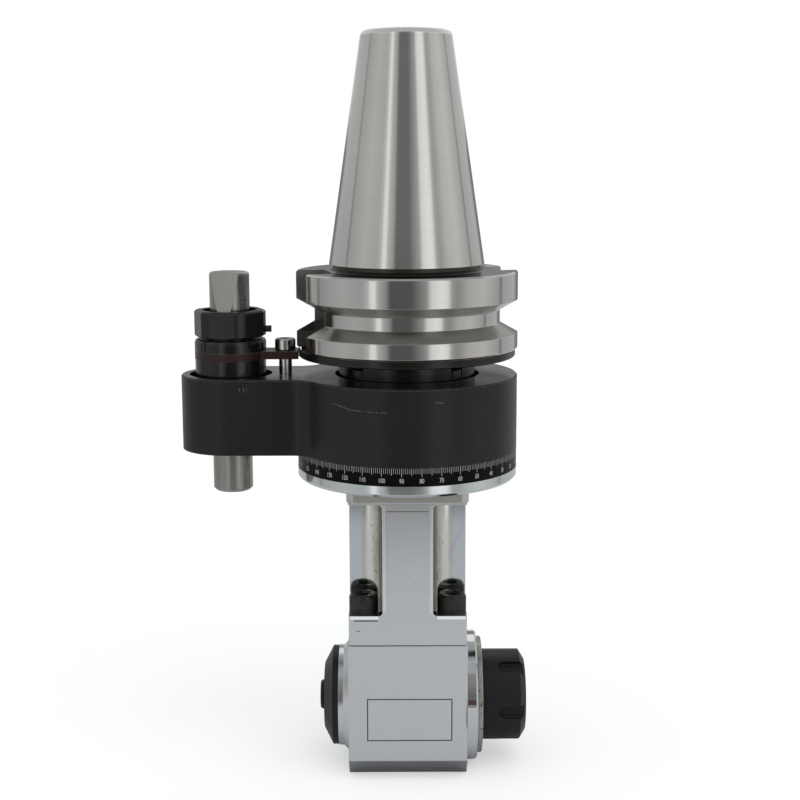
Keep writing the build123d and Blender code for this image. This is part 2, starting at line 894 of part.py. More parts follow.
def corner_pockets():
    """The four pockets at the neck's corners, open to two sides each."""
    half = neck_screw_spacing / 2
    wall = neck_screw_head_dia / 2 + pocket_play
    side = half - wall
    width = neck_width / 2 - side
    depth = neck_depth / 2 - side
    plan = Pos(side + width, side + depth) * Rectangle(2 * width, 2 * depth)
    plan = fillet(plan.vertices().sort_by_distance(Vector(0, 0, 0))[0], wall)
    column = Pos(0, 0, pocket_floor) * extrude(plan, pocket_height)
    middle = (side + width, 0, pocket_floor + pocket_height / 2)
    face = Plane(origin=middle, x_dir=(1, 0, 0), z_dir=(0, 1, 0))
    window = Rectangle(2 * width, pocket_height)
    inner_corners = window.vertices().sort_by(Axis.X)[0:2]
    window = fillet(inner_corners, pocket_corner)
    pocket = column & extrude(face * window, neck_depth)
    return [pocket, pocket.mirror(Plane.YZ), pocket.mirror(Plane.XZ),
            pocket.mirror(Plane.YZ).mirror(Plane.XZ)]


def neck_screw_places(shape):
    """The same shape at the four screws between neck and housing."""
    half = neck_screw_spacing / 2
    return [Pos(x, y, 0) * shape for x in (-half, half) for y in (-half, half)]


def neck_screws():
    """The black socket screws in the corner pockets."""
    screw = socket_screw(neck_screw_dia, neck_screw_head_dia, neck_screw_head_height,
                         neck_screw_length, pocket_floor)
    return neck_screw_places(screw)


def dowels():
    """The two dowels across the seam, at the front and the back."""
    pin = rod(dowel_dia, seam - dowel_length / 2, seam + dowel_length / 2)
    return [Pos(0, side * dowel_reach, 0) * pin for side in (-1, 1)]


def head_housing():
    """The block that holds the gears and the spindle, with its rear boss."""
    plan = chamfer(Rectangle(housing_width, housing_depth).vertices(), housing_corner)
    body = Pos(0, 0, base) * extrude(plan, seam - base)
    base_edges = body.faces().sort_by(Axis.Z)[0].edges().filter_by(Axis.X)
    body = chamfer(base_edges, base_bevel)
    flare = turned([
        (0, boss_face),
        (boss_dia / 2, boss_face),
        (boss_dia / 2, -housing_front - boss_flare),
        (boss_dia / 2 + boss_flare, -housing_front),
        (0, -housing_front),
    ])
    body += on_spindle(flare)
    body -= Pos(0, 0, -spindle_drop) * rod(2 * cavity_radius, 0, spindle_drop + seam)
    body -= on_spindle(rod(2 * cavity_radius, rear_inner_lip, front_bearing_back))
    body -= on_spindle(rod(front_bearing_dia, front_bearing_back, housing_front))
    race = bearing_middle(front_bearing_bore, front_bearing_dia)
    body -= on_spindle(rod(race, front_bearing_back - relief, front_bearing_back))
    body -= on_spindle(rod(rear_bearing_dia, cap_seat, rear_bearing_front))
    lip_bore = rear_bearing_dia - 2 * bearing_land
    body -= on_spindle(rod(lip_bore, rear_bearing_front, rear_inner_lip))
    body -= on_spindle(rod(cap_thread_dia, boss_face, cap_seat))
    tapped = pocket_floor - neck_screw_length
    for hole in neck_screw_places(rod(neck_screw_dia, tapped, seam)):
        body -= hole
    for hole in dowels():
        body -= hole
    return body


def dial_ring():
    """The black ring that carries the degree scale."""
    outer = block_dia / 2
    inner = outer - dial_wall
    return turned([
        (inner, ledge),
        (outer - dial_edge, ledge),
        (outer, ledge - dial_edge),
        (outer, dial_bottom),
        (inner, dial_bottom),
    ])


def stop_block():
    """The torque arm: a ring round the neck's sleeve and an arm for the stop pin."""
    plan = Circle(block_dia / 2) + Pos(-pin_reach / 2, 0) * Rectangle(pin_reach, arm_width)
    plan += Pos(-pin_reach, 0) * Circle(arm_width / 2)
    root = sqrt((block_dia / 2) ** 2 - (arm_width / 2) ** 2)
    corners = plan.vertices().sort_by(lambda vertex: abs(vertex.X + root))[0:2]
    plan = fillet(corners, arm_root_round)
    body = Pos(0, 0, block_bottom) * extrude(plan, block_height)
    top_edges = body.faces().sort_by(Axis.Z)[-1].edges()
    body = chamfer(top_edges, block_edge)
    body -= rod(block_bore, block_bottom, block_top)
    at_pin = Pos(-pin_reach, 0, 0)
    body -= at_pin * rod(pin_bush_dia, block_bottom, block_top)
    body -= at_pin * rod(sleeve_pocket_dia, sleeve_pocket_floor, block_top)
    lip_top = block_bottom + slot_lip
    body -= ring(clamp_circle + slot_mouth, clamp_circle - slot_mouth, block_bottom, lip_top)
    body -= ring(clamp_circle + slot_width, clamp_circle - slot_width, lip_top, slot_roof)
    thread_end = block_top - shoulder_thread_length
    body -= Pos(-shoulder_screw_reach, 0, 0) * rod(shoulder_thread_dia, thread_end, block_top)
    return body


def clamp_screws():
    """The screws in the neck's flange that pull the stop block down, driven from below."""
    length = slot_roof - slot_play - clamp_seat
    screw = socket_screw(clamp_screw_dia, clamp_head_dia, clamp_head_height, length, 0)
    return copies(upward(screw, clamp_seat), clamp_circle / 2, clamp_count, 0)


def clamp_nuts():
    """Straight nuts that slide in the annular slot as the stop block turns."""
    inner = (clamp_circle - slot_width) / 2 + slot_play
    outer_radius = (clamp_circle + slot_width) / 2 - slot_play
    outer = sqrt(outer_radius ** 2 - (slot_nut_length / 2) ** 2)
    low = block_bottom + slot_lip + slot_play
    high = slot_roof - slot_play
    bar = Pos((inner + outer) / 2, 0, 0) * prism(outer - inner, slot_nut_length, low, high)
    bar -= Pos(clamp_circle / 2, 0, 0) * rod(clamp_screw_dia, low, high)
    return copies(bar, 0, clamp_count, 0)


def pin_bush():
    """The flanged bush that guides the stop pin and seats its spring."""
    bore = pin_dia / 2 + running
    return Pos(-pin_reach, 0, 0) * turned([
        (bore, spring_seat),
        (spring_outer, spring_seat),
        (spring_outer, sleeve_pocket_floor),
        (pin_bush_dia / 2, sleeve_pocket_floor),
        (pin_bush_dia / 2, block_bottom),
        (bore, block_bottom),
    ])


def stop_pin():
    """The stop pin with rounded ends and the slanted flat at its head."""
    radius = pin_dia / 2
    edge = pin_edge
    inner_round = inside_round(edge)
    body = turned([
        (0, pin_top),
        (radius - edge, pin_top),
        (radius - inner_round, pin_top - inner_round),
        (radius, pin_top - edge),
        (radius, pin_bottom + edge),
        (radius - edge, pin_bottom),
        (0, pin_bottom),
    ])
    inset = sqrt(radius ** 2 - (pin_flat_top_width / 2) ** 2)
    flat = make_face(Polyline(
        (inset, pin_top),
        (radius, pin_top - pin_flat_run),
        (pin_dia, pin_top - pin_flat_run),
        (pin_dia, pin_top),
        close=True))
    wedge = extrude(Plane.XZ * flat, pin_dia, both=True)
    body -= Rot(0, 0, -90 + pin_flat_turn) * wedge
    return Pos(-pin_reach, 0, 0) * body


def hex_collar():
    """The upper collar on the pin, turned and then cut with six flats."""
    outer = hex_collar_dia / 2
    low = hex_collar_top - hex_collar_height
    edge = hex_collar_edge
    body = turned([
        (pin_dia / 2, hex_collar_top - hex_collar_mouth),
        (hex_collar_mouth_dia / 2, hex_collar_top - hex_collar_mouth),
        (hex_collar_mouth_dia / 2, hex_collar_top),
        (outer, hex_collar_top),
        (outer, low + edge),
        (outer - 2 * edge, low),
        (pin_dia / 2, low),
    ])
    flats = extrude(hexagon(hex_across_flats), hex_collar_height)
    body &= Rot(0, 0, hex_turn) * Pos(0, 0, low) * flats
    rim = body.faces().sort_by(Axis.Z)[-1].outer_wire().edges()
    body = chamfer(rim, edge)
    return Pos(-pin_reach, 0, 0) * body - collar_dog()


def collar_dog():
    """The small screw that sticks out of the hex collar toward the shank."""
    length = hex_collar_dia / 2 + dog_stand - dog_length
    bar = Pos(-pin_reach, 0, hex_collar_top - dog_drop) * Rot(0, 90, 0) * rod(
        dog_dia, length, length + dog_length)
    return bar


def upper_collar():
    """The split collar over the lever, with a narrow neck under the hex collar."""
    high = lever_top + upper_collar_height
    outer = hex_collar_dia / 2
    edge = upper_collar_edge
    inner_round = inside_round(edge)
    body = turned([
        (pin_dia / 2, high + collar_join),
        (collar_join_dia / 2, high + collar_join),
        (collar_join_dia / 2, high),
        (outer - edge, high),
        (outer - inner_round, high - inner_round),
        (outer, high - edge),
        (outer, lever_top),
        (pin_dia / 2, lever_top),
    ])
    slit_plan = Rectangle(outer, upper_collar_slit)
    slit = Pos(outer, 0, lever_top) * extrude(slit_plan, upper_collar_height + collar_join)
    body -= Rot(0, 0, upper_collar_slit_turn) * slit
    return Pos(-pin_reach, 0, 0) * body


def lock_lever():
    """The flat lever whose tongue locks the shank, guided by the shoulder screw."""
    reach = pin_reach - lever_tip + lock_notch_depth / 2
    plan = Circle(lever_eye_dia / 2) + Pos(reach / 2, 0) * Rectangle(reach, lever_arm_width)
    plan -= Circle(pin_dia / 2)
    plan -= Pos(pin_reach, 0) * Circle(lever_tip)
    plan -= Pos(pin_reach - shoulder_screw_reach, 0) * Circle(shoulder_dia / 2 + running)
    return Pos(-pin_reach, 0, lever_bottom) * extrude(plan, lever_height)


def spring_sleeve():
    """The sleeve under the lever that covers the spring."""
    outer = sleeve_dia / 2
    inner = outer - sleeve_wall
    return Pos(-pin_reach, 0, 0) * turned([
        (pin_dia / 2, lever_bottom),
        (outer, lever_bottom),
        (outer, sleeve_bottom + sleeve_edge),
        (outer - sleeve_edge, sleeve_bottom),
        (inner, sleeve_bottom),
        (inner, lever_bottom - sleeve_roof),
        (pin_dia / 2, lever_bottom - sleeve_roof),
    ])


def pin_spring():
    """The square wire spring between the bush and the sleeve's roof."""
    high = lever_bottom - sleeve_roof
    mean = (spring_inner + spring_outer) / 2
    rise = high - spring_seat - spring_wire - 2 * spring_end_room
    path = Helix(rise / spring_coils, rise, mean)
    section = Plane(path @ 0, x_dir=(1, 0, 0), z_dir=path % 0) * Rectangle(
        spring_outer - spring_inner, spring_wire)
    coil = sweep(section, path=path, is_frenet=True)
    return Pos(-pin_reach, 0, spring_seat + spring_wire / 2 + spring_end_room) * coil


def shoulder_screw():
    """The screw that guides the lever and stops it at the top."""
    head_low = lever_top
    head_high = head_low + shoulder_head_height
    edge = shoulder_head_edge
    body = turned([
        (0, head_high),
        (shoulder_head_dia / 2 - edge, head_high),
        (shoulder_head_dia / 2, head_high - edge),
        (shoulder_head_dia / 2, head_low + gap),
        (shoulder_dia / 2, head_low + gap),
        (shoulder_dia / 2, block_top),
        (shoulder_thread_dia / 2, block_top),
        (shoulder_thread_dia / 2, block_top - shoulder_thread_length),
        (0, block_top - shoulder_thread_length),
    ])
    socket = extrude(hexagon(shoulder_socket), -shoulder_socket_depth)
    body -= Pos(0, 0, head_high) * socket
    return Pos(-shoulder_screw_reach, 0, 0) * body


def shaft_screw():
    """The screw in the shank that pulls the drive shaft up into its bore."""
    return socket_screw(shaft_screw_dia, shaft_screw_head_dia, shaft_screw_head_height,
                        shaft_screw_length, shank_web_top)


def spacer_tube():
    """The tube on the shaft between its two bearings."""
    inner = lower_bearing_bore
    return ring(inner + 2 * spacer_wall, inner, lower_bearing_top, upper_bearing_floor)


def save(name, shape):
    """Write one node, a single solid or a group of separate solids."""
    if isinstance(shape, list):
        shape = Compound(children=shape)
    export_step(shape, f"parts/{name}.step")


def save_bearing(name, halves):
    """Write a bearing's outer and inner half as two nodes."""
    outer, inner = halves
    save(name + "_outer_ring", outer)
    save(name + "_inner_ring", inner)


os.makedirs("parts", exist_ok=True)

save("taper_shank", taper_shank())
save("lock_ring", lock_ring())
save("shaft_screw", shaft_screw())
save("drive_shaft", drive_shaft())
save("shaft_key", shaft_key())
save("spacer_tube", spacer_tube())
save("drive_bevel_gear", drive_bevel_gear())
save("drive_gear_key", upper_gear_key())
save("drive_gear_screw", gear_screw())

save("neck", neck())
save("dial_ring", dial_ring())
save("bearing_cover", bearing_cover())
save("bearing_cover_screws", cover_screws())
save("shaft_seal", shaft_seal())
save("clamp_screws", clamp_screws())
save("clamp_nuts", clamp_nuts())
save("neck_screws", neck_screws())
save("neck_dowels", dowels())
save("head_housing", head_housing())
save("spindle_cover", on_spindle(spindle_cover()))
save("rear_cap", on_spindle(rear_cap()))

save("spindle", on_spindle(spindle()))
save("spindle_bevel_gear", on_spindle(spindle_bevel_gear()))
save("spindle_gear_key", on_spindle(lower_gear_key()))
save("labyrinth_ring", on_spindle(labyrinth_ring()))
save("spindle_lock_nut", on_spindle(spindle_lock_nut()))
save("collet", on_spindle(collet()))
save("collet_nut", on_spindle(collet_nut()))

save_bearing("upper_bearing", sealed_bearing(
    upper_bearing_bore, upper_bearing_dia, upper_bearing_width, upper_bearing_floor))
save_bearing("lower_bearing", sealed_bearing(
    lower_bearing_bore, lower_bearing_dia, lower_bearing_width, seam))
front_halves = sealed_bearing(
    front_bearing_bore, front_bearing_dia, front_bearing_width, front_bearing_back)
save_bearing("front_bearing", [on_spindle(half) for half in front_halves])
rear_halves = sealed_bearing(
    rear_bearing_bore, rear_bearing_dia, rear_bearing_width, cap_seat)
save_bearing("rear_bearing", [on_spindle(half) for half in rear_halves])

save("stop_block", stop_block())
save("pin_bush", pin_bush())
save("shoulder_screw", shoulder_screw())
save("stop_pin", stop_pin())
save("hex_collar", hex_collar())
save("collar_dog_screw", collar_dog())
save("split_collar", upper_collar())
save("lock_lever", lock_lever())
save("spring_sleeve", spring_sleeve())
save("pin_spring", pin_spring())
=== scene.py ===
from math import cos, degrees, pi, radians, sin

import bpy
from mathutils import Matrix, Vector


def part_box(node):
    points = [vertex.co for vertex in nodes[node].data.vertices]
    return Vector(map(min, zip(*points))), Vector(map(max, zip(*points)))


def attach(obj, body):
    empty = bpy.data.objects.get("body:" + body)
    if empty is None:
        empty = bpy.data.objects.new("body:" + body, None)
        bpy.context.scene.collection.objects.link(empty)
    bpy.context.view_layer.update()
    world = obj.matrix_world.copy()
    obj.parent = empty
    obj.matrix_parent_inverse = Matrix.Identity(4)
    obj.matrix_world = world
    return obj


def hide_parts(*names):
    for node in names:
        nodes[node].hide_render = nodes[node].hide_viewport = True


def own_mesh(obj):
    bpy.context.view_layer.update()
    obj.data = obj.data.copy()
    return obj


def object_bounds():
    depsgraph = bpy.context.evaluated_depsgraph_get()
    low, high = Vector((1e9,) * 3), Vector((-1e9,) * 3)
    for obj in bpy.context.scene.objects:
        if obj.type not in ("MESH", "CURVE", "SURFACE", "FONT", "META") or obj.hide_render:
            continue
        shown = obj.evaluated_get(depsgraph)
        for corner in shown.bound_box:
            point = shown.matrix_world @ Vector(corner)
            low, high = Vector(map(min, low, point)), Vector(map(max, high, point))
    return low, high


# The looks of the angle head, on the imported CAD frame. Metres, +Z up along the shank.

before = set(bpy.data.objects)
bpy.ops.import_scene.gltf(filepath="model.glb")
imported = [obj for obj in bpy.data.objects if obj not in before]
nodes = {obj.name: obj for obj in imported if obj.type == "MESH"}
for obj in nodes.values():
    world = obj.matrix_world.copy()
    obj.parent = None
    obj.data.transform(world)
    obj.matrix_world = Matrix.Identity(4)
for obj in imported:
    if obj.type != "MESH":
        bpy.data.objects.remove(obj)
cad_low, cad_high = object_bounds()
scene = bpy.context.scene
scene.view_settings.view_transform = "Standard"

mm = 0.001


def top_of(name):
    """The height of a CAD node's highest point."""
    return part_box(name)[1].z


def foot_of(name):
    """The height of a CAD node's lowest point."""
    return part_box(name)[0].z


# Cap screws in the neck's corner pockets and in the bearing cover
neck_screw = {"thread": 8 * mm, "head": 13 * mm, "height": 8 * mm, "flats": 6 * mm, "depth": 4 * mm}
cover_screw = {"thread": 4 * mm, "head": 7 * mm, "height": 4 * mm, "flats": 3 * mm, "depth": 2 * mm}
neck_screw_offset = 20 * mm
cover_screw_circle = 28.6 * mm

# Places on the shank: heights along it and distances from its axis
cone_top = top_of("taper_shank")
undercut_top = -0.12 * mm
undercut_reach = 34.6 * mm
flange_top = -3 * mm
flange_foot = top_of("lock_ring")
slot_floor_reach = 41.8 * mm
groove_top = -15.8 * mm
groove_floor_foot = -26.2 * mm
groove_foot = -30.5 * mm
groove_floor_reach = 42.2 * mm

# Places on the neck and the head
column_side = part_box("head_housing")[1].x
column_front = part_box("head_housing")[1].y
neck_flange_foot = -96.8 * mm
collar_foot = -103.4 * mm
pocket_top = -104.5 * mm
pocket_floor = top_of("neck_screws") - neck_screw["height"]
base_height = cad_low.z
base_bevel_top = base_height + 9.45 * mm

# The stop pin's axis
pin_low, pin_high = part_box("stop_pin")
pin_axis = Vector(((pin_low.x + pin_high.x) / 2, 0, 0))


# Camera, fitted to the photo by the standard sizes of the cone and flange, its turns in degrees
camera_place = (-3.2 * mm, -662.6 * mm, 49.64 * mm)
camera_lens = 66.2
camera_down = 9.6
camera_lean = -0.18


def make_camera():
    data = bpy.data.cameras.new("camera")
    data.sensor_width = 36
    data.lens = camera_lens
    data.clip_end = 50
    camera = bpy.data.objects.new("camera", data)
    scene.collection.objects.link(camera)
    down = Matrix.Rotation(radians(90 - camera_down), 4, "X")
    lean = Matrix.Rotation(radians(camera_lean), 4, "Z")
    camera.matrix_world = Matrix.Translation(camera_place) @ down @ lean
    scene.camera = camera


# Node trees
class Shader:
    """A material's node tree, built a node at a time."""

    def __init__(self, name):
        self.material = bpy.data.materials.new(name)
        self.material.use_nodes = True
        self.tree = self.material.node_tree
        self.surface = self.tree.nodes["Principled BSDF"]
        coordinates = self.add("ShaderNodeTexCoord").outputs
        self.place = coordinates["Object"]
        self.facing = coordinates["Normal"]

    def add(self, kind, **settings):
        node = self.tree.nodes.new(kind)
        for key, value in settings.items():
            setattr(node, key, value)
        return node

    def feed(self, socket, value):
        """Link a socket to another, or set it to a plain value."""
        if isinstance(value, bpy.types.NodeSocket):
            self.tree.links.new(value, socket)
        else:
            socket.default_value = value

    def math(self, operation, *values):
        node = self.add("ShaderNodeMath", operation=operation)
        for socket, value in zip(node.inputs, values):
            self.feed(socket, value)
        return node.outputs[0]

    def product(self, first, *others):
        """All the values multiplied."""
        for other in others:
            first = self.math("MULTIPLY", first, other)
        return first

    def magnitude(self, value):
        return self.math("ABSOLUTE", value)

    def above(self, value, level):
        return self.math("GREATER_THAN", value, level)

    def below(self, value, level):
        return self.math("LESS_THAN", value, level)

    def noise(self, scale, detail=3.0, rough=0.5, distortion=0.0):
        """Noise whose features are about 1/scale metres, the same or not along each axis."""
        stretched = self.add("ShaderNodeMapping")
        self.feed(stretched.inputs["Vector"], self.place)
        stretched.inputs["Scale"].default_value = scale if isinstance(scale, tuple) else (scale,) * 3
        node = self.add("ShaderNodeTexNoise")
        self.feed(node.inputs["Vector"], stretched.outputs[0])
        node.inputs["Scale"].default_value = 1
        node.inputs["Detail"].default_value = detail
        node.inputs["Roughness"].default_value = rough
        node.inputs["Distortion"].default_value = distortion
        return node.outputs[0]

    def span(self, value, low, high, to_low=0.0, to_high=1.0):
        """A value carried from one range to another, and held at its ends."""
        node = self.add("ShaderNodeMapRange")
        for socket, item in zip(node.inputs, (value, low, high, to_low, to_high)):
            self.feed(socket, item)
        return node.outputs[0]

    def vary(self, noise, low, high):
        """A noise carried to a range of values, across most of its own range."""
        return self.span(noise, 0.3, 0.7, low, high)

    def mix(self, share, first, second):
        """A colour between two others. The node's colour sockets follow its other kinds."""
        node = self.add("ShaderNodeMix", data_type="RGBA")
        self.feed(node.inputs[0], share)
        self.feed(node.inputs[6], first)
        self.feed(node.inputs[7], second)
        return node.outputs[2]

    def blend(self, share, first, second):
        """A number between two others."""
        node = self.add("ShaderNodeMix", data_type="FLOAT")
        self.feed(node.inputs[0], share)
        self.feed(node.inputs[2], first)
        self.feed(node.inputs[3], second)
        return node.outputs[0]

    def axes(self, vector=None):
        node = self.add("ShaderNodeSeparateXYZ")
        self.feed(node.inputs[0], vector or self.place)
        return node.outputs

    def soft_edges(self, radius):
        """A normal that rounds the edges, and how near each point is to an edge."""
        flat, sharp = 0.985, 0.86
        bevel = self.add("ShaderNodeBevel", samples=4)
        bevel.inputs["Radius"].default_value = radius
        plain = self.add("ShaderNodeNewGeometry").outputs["Normal"]
        turn = self.add("ShaderNodeVectorMath", operation="DOT_PRODUCT")
        self.feed(turn.inputs[0], bevel.outputs[0])
        self.feed(turn.inputs[1], plain)
        return bevel.outputs[0], self.span(turn.outputs["Value"], flat, sharp)

    def bump(self, height, depth, strength, normal):
        node = self.add("ShaderNodeBump")
        node.inputs["Strength"].default_value = strength
        node.inputs["Distance"].default_value = depth
        self.feed(node.inputs["Height"], height)
        self.feed(node.inputs["Normal"], normal)
        return node.outputs[0]

    def within(self, value, low, high, soft):
        """1 between two values, falling to 0 over a soft margin outside them."""
        return self.product(self.span(value, low - soft, low), self.span(value, high, high + soft, 1, 0))

    def radius(self, first, second):
        """The distance from an axis, by the two coordinates across it."""
        squares = [self.product(value, value) for value in (first, second)]
        return self.math("SQRT", self.math("ADD", *squares))

    def milled_face(self, across, along, reach, floor):
        """1 on faces that are turned sideways from straight outward, or that lie within a radius."""
        turned, milled_flat = 0.06, 0.12
        out_x, out_y, _ = self.axes(self.facing)
        turn = self.math("SUBTRACT", self.product(out_x, along), self.product(out_y, across))
        turn = self.math("DIVIDE", self.magnitude(turn), reach)
        return self.math("MAXIMUM", self.span(turn, turned, milled_flat), self.below(reach, floor))

    def scratch(self, start_x, start_z, end_x, end_z, width):
        """A thin broken line on the front, from one point to another, all in millimetres."""
        across, along, height = self.axes()
        slope = (end_z - start_z) / (end_x - start_x)
        over = self.math("SUBTRACT", across, start_x * mm)
        line = self.math("MULTIPLY_ADD", over, slope, start_z * mm)
        off = self.magnitude(self.math("SUBTRACT", height, line))
        near = self.span(off, width * mm, 0.3 * width * mm)
        fading = 0.4 * mm
        there = self.within(across, start_x * mm, end_x * mm, fading)
        broken = self.span(self.noise(900, detail=2), 0.35, 0.55)
        return self.product(near, there, self.below(along, 0), broken)

    def done(self, colour, roughness, normal, metallic=1.0, gloss=0.5):
        self.surface.inputs["Specular IOR Level"].default_value = gloss
        self.feed(self.surface.inputs["Base Color"], colour)
        self.feed(self.surface.inputs["Roughness"], roughness)
        self.feed(self.surface.inputs["Normal"], normal)
        self.feed(self.surface.inputs["Metallic"], metallic)
        return self.material


def tone(red, green=None, blue=None, gain=1.0):
    """A colour, grey where only one value is given."""
    green = red if green is None else green
    blue = green if blue is None else blue
    return (red * gain, green * gain, blue * gain, 1)


# Colours of the plating and the black oxide, and of wear on edges
plating = (0.76, 0.77, 0.785)
oxide = (0.006, 0.0062, 0.006)
bare_edge = tone(0.9, 0.9, 0.88)
worn_edge = tone(0.3, 0.29, 0.27)
plated_edge = tone(0.93)

# Colours of the shank's marks and its painted shade
slot_painted_shade = tone(0.28, 0.275, 0.25)
undercut_shade = tone(0.07, 0.07, 0.06)
groove_painted_shade = tone(0.24, 0.235, 0.22)
brassy_foot = tone(0.42, 0.3, 0.14)
cone_rim = tone(0.92, 0.92, 0.9)

# Colours of the stop block's marks
rubbed_dark = tone(0.24, 0.245, 0.24)
rubbed_light = tone(0.36, 0.365, 0.36)
block_nick = tone(0.2, 0.195, 0.18)

# Colours of the neck's marks, painted highlights and painted shade
collar_warm = tone(0.62, 0.59, 0.52)
flange_cool = tone(0.72, 0.765, 0.765)
lit_rim = tone(0.96, 0.97, 0.98)
lit_sill = tone(0.93, 0.93, 0.94)
rib_side_shade = tone(0.2)
dark_fleck_and_shade = tone(0.05)

# Colours inside the neck's pockets
pocket_plain = tone(0.62, 0.6, 0.55)
pocket_stain = tone(0.5, 0.46, 0.38)
pocket_wall = tone(0.63, 0.67, 0.69)
pocket_shine = tone(0.78, 0.77, 0.73)
pocket_shadow = tone(0.17, 0.15, 0.11)
pocket_rust = tone(0.09, 0.07, 0.045)
pocket_tint = tone(0.5, 0.48, 0.72)

# Grain: rings about the shank, rings about the spindle, upright strokes on the front, and even
turned_upright = (70, 70, 2400)
turned_lying = (2400, 70, 70)
milled = (1500, 60, 60)
even = 700


# Materials. A function given as marks adds what only one node has.
def bright_metal(name, colour, roughness, grain, cloud=0.06, smudge=0.04, scratch=0.12, marks=None):
    """Ground or turned steel: grinding lines, faint clouds, smudges and bright edges."""
    shade = Shader(name)
    lines = shade.noise(grain, detail=4, rough=0.6)
    clouds = shade.noise(38, detail=2, distortion=0.4)
    fine = shade.noise(1900, detail=2)
    normal, near_edge = shade.soft_edges(0.28 * mm)
    base = shade.mix(clouds, tone(*colour, gain=1 - cloud), tone(*colour, gain=1 + cloud))
    dark_lines = shade.span(lines, 0.35, 0.62, scratch, 0)
    base = shade.mix(dark_lines, base, tone(*colour, gain=0.55))
    base = shade.mix(shade.product(near_edge, 0.25), base, bare_edge)
    rough = shade.vary(clouds, roughness - smudge, roughness + smudge)
    rough = shade.math("ADD", rough, shade.vary(fine, -0.02, 0.03))
    metallic = 1.0
    if marks:
        base, rough, metallic = marks(shade, base, rough, metallic)
    normal = shade.bump(lines, 0.01 * mm, 0.25, normal)
    return shade.done(base, rough, normal, metallic)


def shank_marks(shade, base, rough, metallic):
    """The dark undercut, the slots' mottled painted shade, painted shade on the groove's lower slope, the
    brassy foot and the cone's pale rim.
    """
    across, along, height = shade.axes()
    reach = shade.radius(across, along)

    undercut = shade.product(shade.within(height, flange_top + 0.1 * mm, undercut_top, 0.1 * mm),
                             shade.below(reach, undercut_reach))
    slots = shade.product(shade.below(height, flange_top - 0.3 * mm),
                          shade.milled_face(across, along, reach, slot_floor_reach))
    # Painted shade: mottled darkening on the walls and floors of the drive slots
    slot_mottle = shade.noise((55, 55, 110), detail=4, distortion=0.7)
    slot_shade = shade.product(slots, shade.span(slot_mottle, 0.35, 0.6, 0.45, 0.9))
    base = shade.mix(slot_shade, base, slot_painted_shade)
    rough = shade.blend(slots, rough, 0.34)
    base = shade.mix(undercut, base, undercut_shade)
    rough = shade.math("ADD", rough, shade.product(undercut, 0.3))

    slopes = shade.product(shade.within(height, groove_foot - 0.1 * mm, groove_top, 0.1 * mm),
                           shade.above(reach, groove_floor_reach))
    rough = shade.blend(slopes, rough, 0.27)
    # Painted shade: the groove's lower slope is darkened
    lower_slope_shade = shade.within(height, groove_foot, groove_floor_foot, 0.15 * mm)
    base = shade.mix(shade.product(lower_slope_shade, 0.7), base, groove_painted_shade)

    brassy = shade.within(height, flange_foot - 0.1 * mm, flange_foot + 0.5 * mm, 0.1 * mm)
    base = shade.mix(shade.product(brassy, 0.8), base, brassy_foot)
    rim = shade.span(height, cone_top - 2.6 * mm, cone_top - 1.8 * mm)
    base = shade.mix(rim, base, cone_rim)
    rough = shade.math("ADD", rough, shade.product(rim, 0.3))
    return base, rough, metallic


def blackened(name, colour, roughness, brown=0.3, wear=0.6, grain=even, gloss=0.3, marks=None):
    """Black oxide on steel: a brownish cast in patches, and edges worn to bare metal."""
    shade = Shader(name)
    lines = shade.noise(grain, detail=3, rough=0.6)
    patches = shade.noise(30, detail=3, distortion=0.6)
    chips = shade.noise(420, detail=3, rough=0.65)
    normal, near_edge = shade.soft_edges(0.3 * mm)
    browner = tone(colour[0] * 1.35, colour[1] * 1.05, colour[2] * 0.8)
    base = shade.mix(shade.span(patches, 0.4, 0.65, 0, brown), tone(*colour), browner)
    base = shade.mix(shade.span(lines, 0.35, 0.65, 0.25, 0), base, tone(*colour, gain=0.6))
    worn = shade.product(near_edge, shade.span(chips, 0.38, 0.6, 0.15, 1), wear)
    metallic = shade.product(worn, 0.8)
    rough = shade.vary(patches, roughness - 0.05, roughness + 0.07)
    base = shade.mix(worn, base, worn_edge)
    if marks:
        base, rough, metallic = marks(shade, base, rough, metallic)
    normal = shade.bump(lines, 0.02 * mm, 0.3, normal)
    return shade.done(base, rough, normal, metallic, gloss)


# Light scratches on the stop block's front: from and to, across and up, and their width, in mm
block_scratches = (
    (-32.5, -57.2, -24.0, -59.4, 0.22),
    (-24.0, -59.4, -9.0, -59.8, 0.16),
    (12.0, -55.4, 15.0, -55.9, 0.2),
    (30.0, -71.5, 31.5, -75.5, 0.15),
    (-74.05, -53.9, -73.95, -54.2, 0.7),
    (-72.25, -53.6, -72.15, -53.9, 0.7),
    (-70.75, -54.0, -70.65, -54.3, 0.7),
)


def block_marks(shade, base, rough, metallic):
    """The stop block's rubbed bare top, and the nicks and scratches on its sides."""
    level = shade.above(shade.axes(shade.facing)[2], 0.9)
    top = shade.product(level, shade.above(shade.axes()[2], top_of("stop_block") - 0.7 * mm))
    rubbed = shade.noise(60, detail=3, distortion=0.5)
    base = shade.mix(top, base, shade.mix(rubbed, rubbed_dark, rubbed_light))
    metallic = shade.math("MAXIMUM", metallic, top)
    rough = shade.blend(top, rough, shade.vary(rubbed, 0.2, 0.3))
    nicks = shade.noise(520, detail=2, rough=0.8)
    large = shade.noise(70, detail=2)
    nicks = shade.product(shade.span(nicks, 0.735, 0.77), shade.span(large, 0.5, 0.56))
    for scratch in block_scratches:
        nicks = shade.math("MAXIMUM", nicks, shade.scratch(*scratch))
    base = shade.mix(shade.product(nicks, 0.75), base, block_nick)
    return base, rough, metallic


